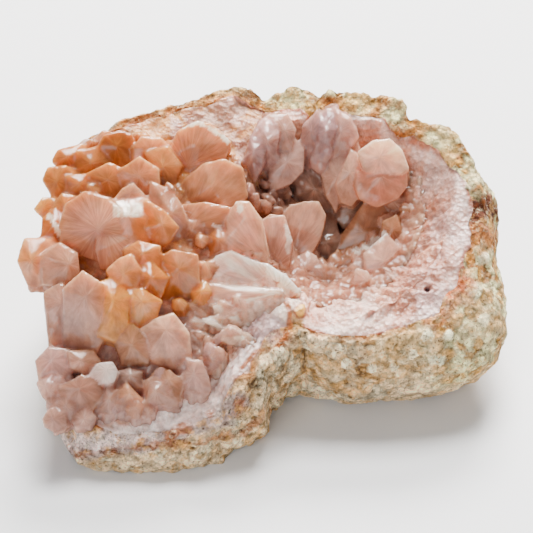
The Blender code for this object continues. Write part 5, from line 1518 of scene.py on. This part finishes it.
def hollow_small(rng):
    """Druse on the floor and sides of the hollow."""
    made = []
    for _ in range(PIT_COUNT):
        u = rng.uniform(*PIT_ACROSS)
        v = rng.uniform(*PIT_UP)
        w = seat(u, v, face_height)
        spot = to_world(u, v, w - 0.4)
        if pit_share(spot[None])[0] < 0.3:
            continue
        axis = unit(surface_axis(spot[0], spot[1], face_height)) + rng.normal(0.0, 0.35, 3)
        radius = rng.uniform(1.0, 2.0)
        colour = picked(PIT_SHADE_TONES, rng)
        made.append(grown_crystal(spot, axis, radius, rng.uniform(2.0, 4.0), colour, rng))
    for _ in range(CRUST_COUNT):
        angle = rng.uniform(0.0, FULL)
        share = 0.15 + (0.3 if math.sin(angle) < -0.3 else 0.5) * math.sqrt(rng.random())
        x, y = oval_spot(angle, share, HOLLOW, HOLLOW_REACH)
        z = float(face_height(x, y))
        if pit_share(np.array([[x, y, z]]))[0] > 0.0:
            continue
        axis = unit(surface_axis(x, y, face_height)) + rng.normal(0.0, 0.3, 3)
        radius = rng.uniform(0.8, 2.0)
        colour = picked(CRUST_TONES, rng)
        made.append(grown_crystal(np.array([x, y, z + 0.2]), axis, radius,
                                  radius * rng.uniform(1.1, 2.2), colour, rng))
    return made


# ---------------------------------------------------------------- materials

QUARTZ_IOR = 1.54


def node_tree(name):
    """A new material, its nodes and its shader."""
    made = bpy.data.materials.new(name)
    made.use_nodes = True
    tree = made.node_tree
    shader = tree.nodes["Principled BSDF"]
    return made, tree, shader


def set_inputs(node, values):
    for name, value in values.items():
        node.inputs[name].default_value = value


def noise_node(tree, vector, scale, detail, rough):
    """Height of a noise over the given vectors."""
    node = tree.nodes.new("ShaderNodeTexNoise")
    set_inputs(node, {"Scale": scale, "Detail": detail, "Roughness": rough})
    tree.links.new(vector, node.inputs["Vector"])
    return node.outputs["Fac"]


def place_of(tree):
    """Place on the object."""
    return tree.nodes.new("ShaderNodeTexCoord").outputs["Object"]


def attribute(tree, name, output):
    node = tree.nodes.new("ShaderNodeAttribute")
    node.attribute_name = name
    return node.outputs[output]


def ramp(tree, source, low, high, from_low=0.3, from_high=0.7):
    """A value taken from one range to another."""
    node = tree.nodes.new("ShaderNodeMapRange")
    set_inputs(node, {"From Min": from_low, "From Max": from_high, "To Min": low, "To Max": high})
    tree.links.new(source, node.inputs["Value"])
    return node.outputs["Result"]


def shaded(tree, colour, shade):
    """A colour darkened and lightened by a shade from a fine texture."""
    scale = tree.nodes.new("ShaderNodeVectorMath")
    scale.operation = "SCALE"
    tree.links.new(colour, scale.inputs[0])
    tree.links.new(shade, scale.inputs["Scale"])
    return scale.outputs["Vector"]


def blended(tree, colour, other, share):
    """A colour mixed towards a fixed other colour by a share from a texture."""
    mix = tree.nodes.new("ShaderNodeMix")
    mix.data_type = "RGBA"
    factor = next(socket for socket in mix.inputs if socket.enabled and socket.type == "VALUE")
    low, high = [socket for socket in mix.inputs if socket.type == "RGBA"]
    tree.links.new(share, factor)
    tree.links.new(colour, low)
    high.default_value = (*other, 1.0)
    return next(socket for socket in mix.outputs if socket.type == "RGBA")


def bumped(tree, shader, layers):
    """Layers of bump, each a height output, a strength and a distance, over one another."""
    last = None
    for height, strength, distance in layers:
        node = tree.nodes.new("ShaderNodeBump")
        set_inputs(node, {"Strength": strength, "Distance": distance})
        tree.links.new(height, node.inputs["Height"])
        if last is not None:
            tree.links.new(last.outputs["Normal"], node.inputs["Normal"])
        last = node
    tree.links.new(last.outputs["Normal"], shader.inputs["Normal"])


def fibre_node(tree, scale, detail):
    """Noise drawn out along the grain of the points."""
    return noise_node(tree, attribute(tree, "grain", "Vector"), scale, detail, 0.65)


def chip_node(tree, place, scale):
    """Small cells: the height towards the middle of each, and a tone of its own for each."""
    node = tree.nodes.new("ShaderNodeTexVoronoi")
    node.inputs["Scale"].default_value = scale
    tree.links.new(place, node.inputs["Vector"])
    split = tree.nodes.new("ShaderNodeSeparateColor")
    tree.links.new(node.outputs["Color"], split.inputs["Color"])
    return node.outputs["Distance"], split.outputs["Red"]


def rind_material():
    made, tree, shader = node_tree("rind_rock")
    place = place_of(tree)
    grain = noise_node(tree, place, 1300.0, 6.0, 0.75)
    coarse = noise_node(tree, place, 420.0, 6.0, 0.7)
    pebbles, pebble_tone = chip_node(tree, place, 480.0)
    spots = noise_node(tree, place, 1900.0, 3.0, 0.6)
    pale = noise_node(tree, place, 800.0, 5.0, 0.7)
    colour = attribute(tree, "tint", "Color")
    colour = blended(tree, colour, IVORY, ramp(tree, pale, 0.0, 0.5, 0.55, 0.66))
    colour = blended(tree, colour, EARTH_AND_SHADE, ramp(tree, spots, 0.0, 0.85, 0.57, 0.68))
    colour = blended(tree, colour, OCHRE, ramp(tree, coarse, 0.0, 0.6, 0.53, 0.62))
    colour = shaded(tree, colour, ramp(tree, grain, 0.56, 1.5, 0.3, 0.7))
    chips, chip_tone = chip_node(tree, place, 1100.0)
    colour = shaded(tree, colour, ramp(tree, chip_tone, 0.74, 1.24, 0.0, 1.0))
    colour = shaded(tree, colour, ramp(tree, pebble_tone, 0.86, 1.26, 0.0, 1.0))
    # Painted shade: each pebble lighter at its middle and darker towards its edge.
    colour = shaded(tree, colour, ramp(tree, pebbles, 1.16, 0.8, 0.2, 0.8))
    tree.links.new(colour, shader.inputs["Base Color"])
    tree.links.new(ramp(tree, coarse, 0.75, 0.95), shader.inputs["Roughness"])
    turned = ramp(tree, pebbles, 1.0, 0.0, 0.0, 1.0)
    bumped(tree, shader, [(turned, 0.8, 0.0014), (coarse, 0.8, 0.0014), (chips, 0.7, 0.0006),
                          (grain, 0.8, 0.0006)])
    shader.inputs["Specular IOR Level"].default_value = 0.3
    return made


def wall_material():
    made, tree, shader = node_tree("pink_quartz")
    place = place_of(tree)
    grain = noise_node(tree, place, 1300.0, 4.0, 0.65)
    cloud = noise_node(tree, place, 300.0, 4.0, 0.6)
    fibre = fibre_node(tree, 1.6, 6.0)
    chips, chip_tone = chip_node(tree, place, 950.0)
    colour = attribute(tree, "tint", "Color")
    colour = blended(tree, colour, PINK_WHITE, ramp(tree, fibre, 0.0, 0.25, 0.56, 0.72))
    colour = blended(tree, colour, HONEY, ramp(tree, cloud, 0.0, 0.45, 0.5, 0.66))
    colour = shaded(tree, colour, ramp(tree, grain, 0.8, 1.16))
    colour = shaded(tree, colour, ramp(tree, chip_tone, 0.84, 1.14, 0.0, 1.0))
    tree.links.new(colour, shader.inputs["Base Color"])
    tree.links.new(ramp(tree, cloud, 0.16, 0.45), shader.inputs["Roughness"])
    bumped(tree, shader, [(fibre, 0.5, 0.0006), (cloud, 0.4, 0.0008),
                          (chips, 0.55, 0.0006), (grain, 0.4, 0.0003)])
    set_inputs(shader, {"IOR": QUARTZ_IOR, "Subsurface Weight": 0.4,
                        "Subsurface Radius": (1.0, 0.55, 0.4), "Subsurface Scale": 0.002})
    return made


def crystal_material(name, rough, subsurface, see_through):
    made, tree, shader = node_tree(name)
    place = place_of(tree)
    fine = noise_node(tree, place, 900.0, 3.0, 0.6)
    cloud = noise_node(tree, place, 240.0, 2.0, 0.5)
    fibre = fibre_node(tree, 1.3, 3.0)
    colour = attribute(tree, "tint", "Color")
    colour = shaded(tree, colour, ramp(tree, fibre, 0.8, 1.22, 0.35, 0.68))
    colour = shaded(tree, colour, ramp(tree, cloud, 0.86, 1.14))
    tree.links.new(colour, shader.inputs["Base Color"])
    tree.links.new(ramp(tree, cloud, 0.7 * rough, 1.5 * rough), shader.inputs["Roughness"])
    bumped(tree, shader, [(fibre, 0.25, 0.0004), (fine, 0.05, 0.0002)])
    set_inputs(shader, {"IOR": QUARTZ_IOR, "Specular IOR Level": 0.3,
                        "Transmission Weight": see_through, "Subsurface Weight": subsurface,
                        "Subsurface Radius": (1.0, 0.82, 0.66), "Subsurface Scale": 0.007})
    return made


# ---------------------------------------------------------------- floor, light, camera

FLOOR_HALF = 3.0
FLOOR_COLOUR = (0.8, 0.8, 0.805, 1.0)
LIGHT_AIM = Vector((0.0, 0.0, 0.02))
# Name, place, size, power and colour of each light.
LIGHTS = [
    ("back", (0.15, 0.8, 0.62), (0.45, 0.3), 35.0, (1.0, 0.98, 0.96)),
    ("top", (0.05, 0.5, 1.05), (0.55, 0.4), 32.0, (1.0, 0.99, 0.98)),
    ("front", (-0.4, -1.1, 0.6), (1.0, 0.7), 11.0, (0.98, 0.99, 1.0)),
]
WORLD_STRENGTH = 0.34


def make_floor():
    mesh = bpy.data.meshes.new("floor")
    mesh.from_pydata([(-FLOOR_HALF, -FLOOR_HALF, 0.0), (FLOOR_HALF, -FLOOR_HALF, 0.0),
                      (FLOOR_HALF, FLOOR_HALF, 0.0), (-FLOOR_HALF, FLOOR_HALF, 0.0)], [],
                     [(0, 1, 2, 3)])
    made, tree, shader = node_tree("pale_floor")
    place = place_of(tree)
    soft = noise_node(tree, place, 3.0, 2.0, 0.5)
    tree.links.new(ramp(tree, soft, 0.55, 0.6), shader.inputs["Roughness"])
    set_inputs(shader, {"Base Color": FLOOR_COLOUR, "Specular IOR Level": 0.2})
    mesh.materials.append(made)
    floor = bpy.data.objects.new("floor", mesh)
    bpy.context.scene.collection.objects.link(floor)


def make_light(name, spot, size, power, colour):
    data = bpy.data.lights.new(name, "AREA")
    data.shape = "RECTANGLE"
    data.size, data.size_y = size
    data.energy = power
    data.color = colour
    item = bpy.data.objects.new(name, data)
    item.location = spot
    item.rotation_euler = (LIGHT_AIM - Vector(spot)).to_track_quat("-Z", "Y").to_euler()
    bpy.context.scene.collection.objects.link(item)


def make_world():
    world = bpy.data.worlds.new("studio")
    world.use_nodes = True
    back = world.node_tree.nodes["Background"]
    set_inputs(back, {"Color": (1.0, 1.0, 1.0, 1.0), "Strength": WORLD_STRENGTH})
    bpy.context.scene.world = world


def make_camera():
    data = bpy.data.cameras.new("camera")
    data.sensor_width = SENSOR
    data.lens = SENSOR * CAMERA_AWAY / (PICTURE_SIDE / PIXELS_PER_MM * MM)
    data.clip_start = 0.05
    item = bpy.data.objects.new("camera", data)
    item.location = (0.0, -CAMERA_AWAY * COS_SIGHT, SIGHT_HEIGHT * MM + CAMERA_AWAY * SIN_SIGHT)
    item.rotation_euler = (math.pi / 2.0 - SIGHT, 0.0, 0.0)
    bpy.context.scene.collection.objects.link(item)
    bpy.context.scene.camera = item


def make_mound(rng):
    small = mound_small(rng) + mound_gaps(rng) + septum_blades(rng)
    foot = lens(MOUND_FOOT, MOUND_REACH, lambda x, y: mound_lift(x, y) + CRUST)
    make_crystals("crystal_mound", "crystal_cluster", CLUSTER, FANS, VEINED, small, seat_height,
                  foot, lambda x, y: seat_height(x, y) + CRUST, mound_base_colours,
                  crystal_material("peach_crystal", rough=0.1, subsurface=0.9, see_through=0.32),
                  MOUND_VOXEL, MOUND_TURNS)


def make_druse(rng):
    crust = lens(HOLLOW, [CRUST_SHARE * r for r in HOLLOW_REACH], lambda x, y: CRUST + 0.0 * x)
    make_crystals("hollow_druse", "hollow_crystals", HOLLOW_CRYSTALS, HOLLOW_FANS, (),
                  hollow_small(rng), face_height, crust, lambda x, y: face_height(x, y) + CRUST,
                  hollow_base_colours,
                  crystal_material("hollow_crystal", rough=0.1, subsurface=0.85, see_through=0.25),
                  DRUSE_VOXEL, DRUSE_TURNS)


def build():
    rng = np.random.default_rng(RANDOM_SEED)
    make_rind()
    make_wall()
    make_mound(rng)
    make_druse(rng)
    make_floor()
    for light in LIGHTS:
        make_light(*light)
    make_world()
    make_camera()


build()
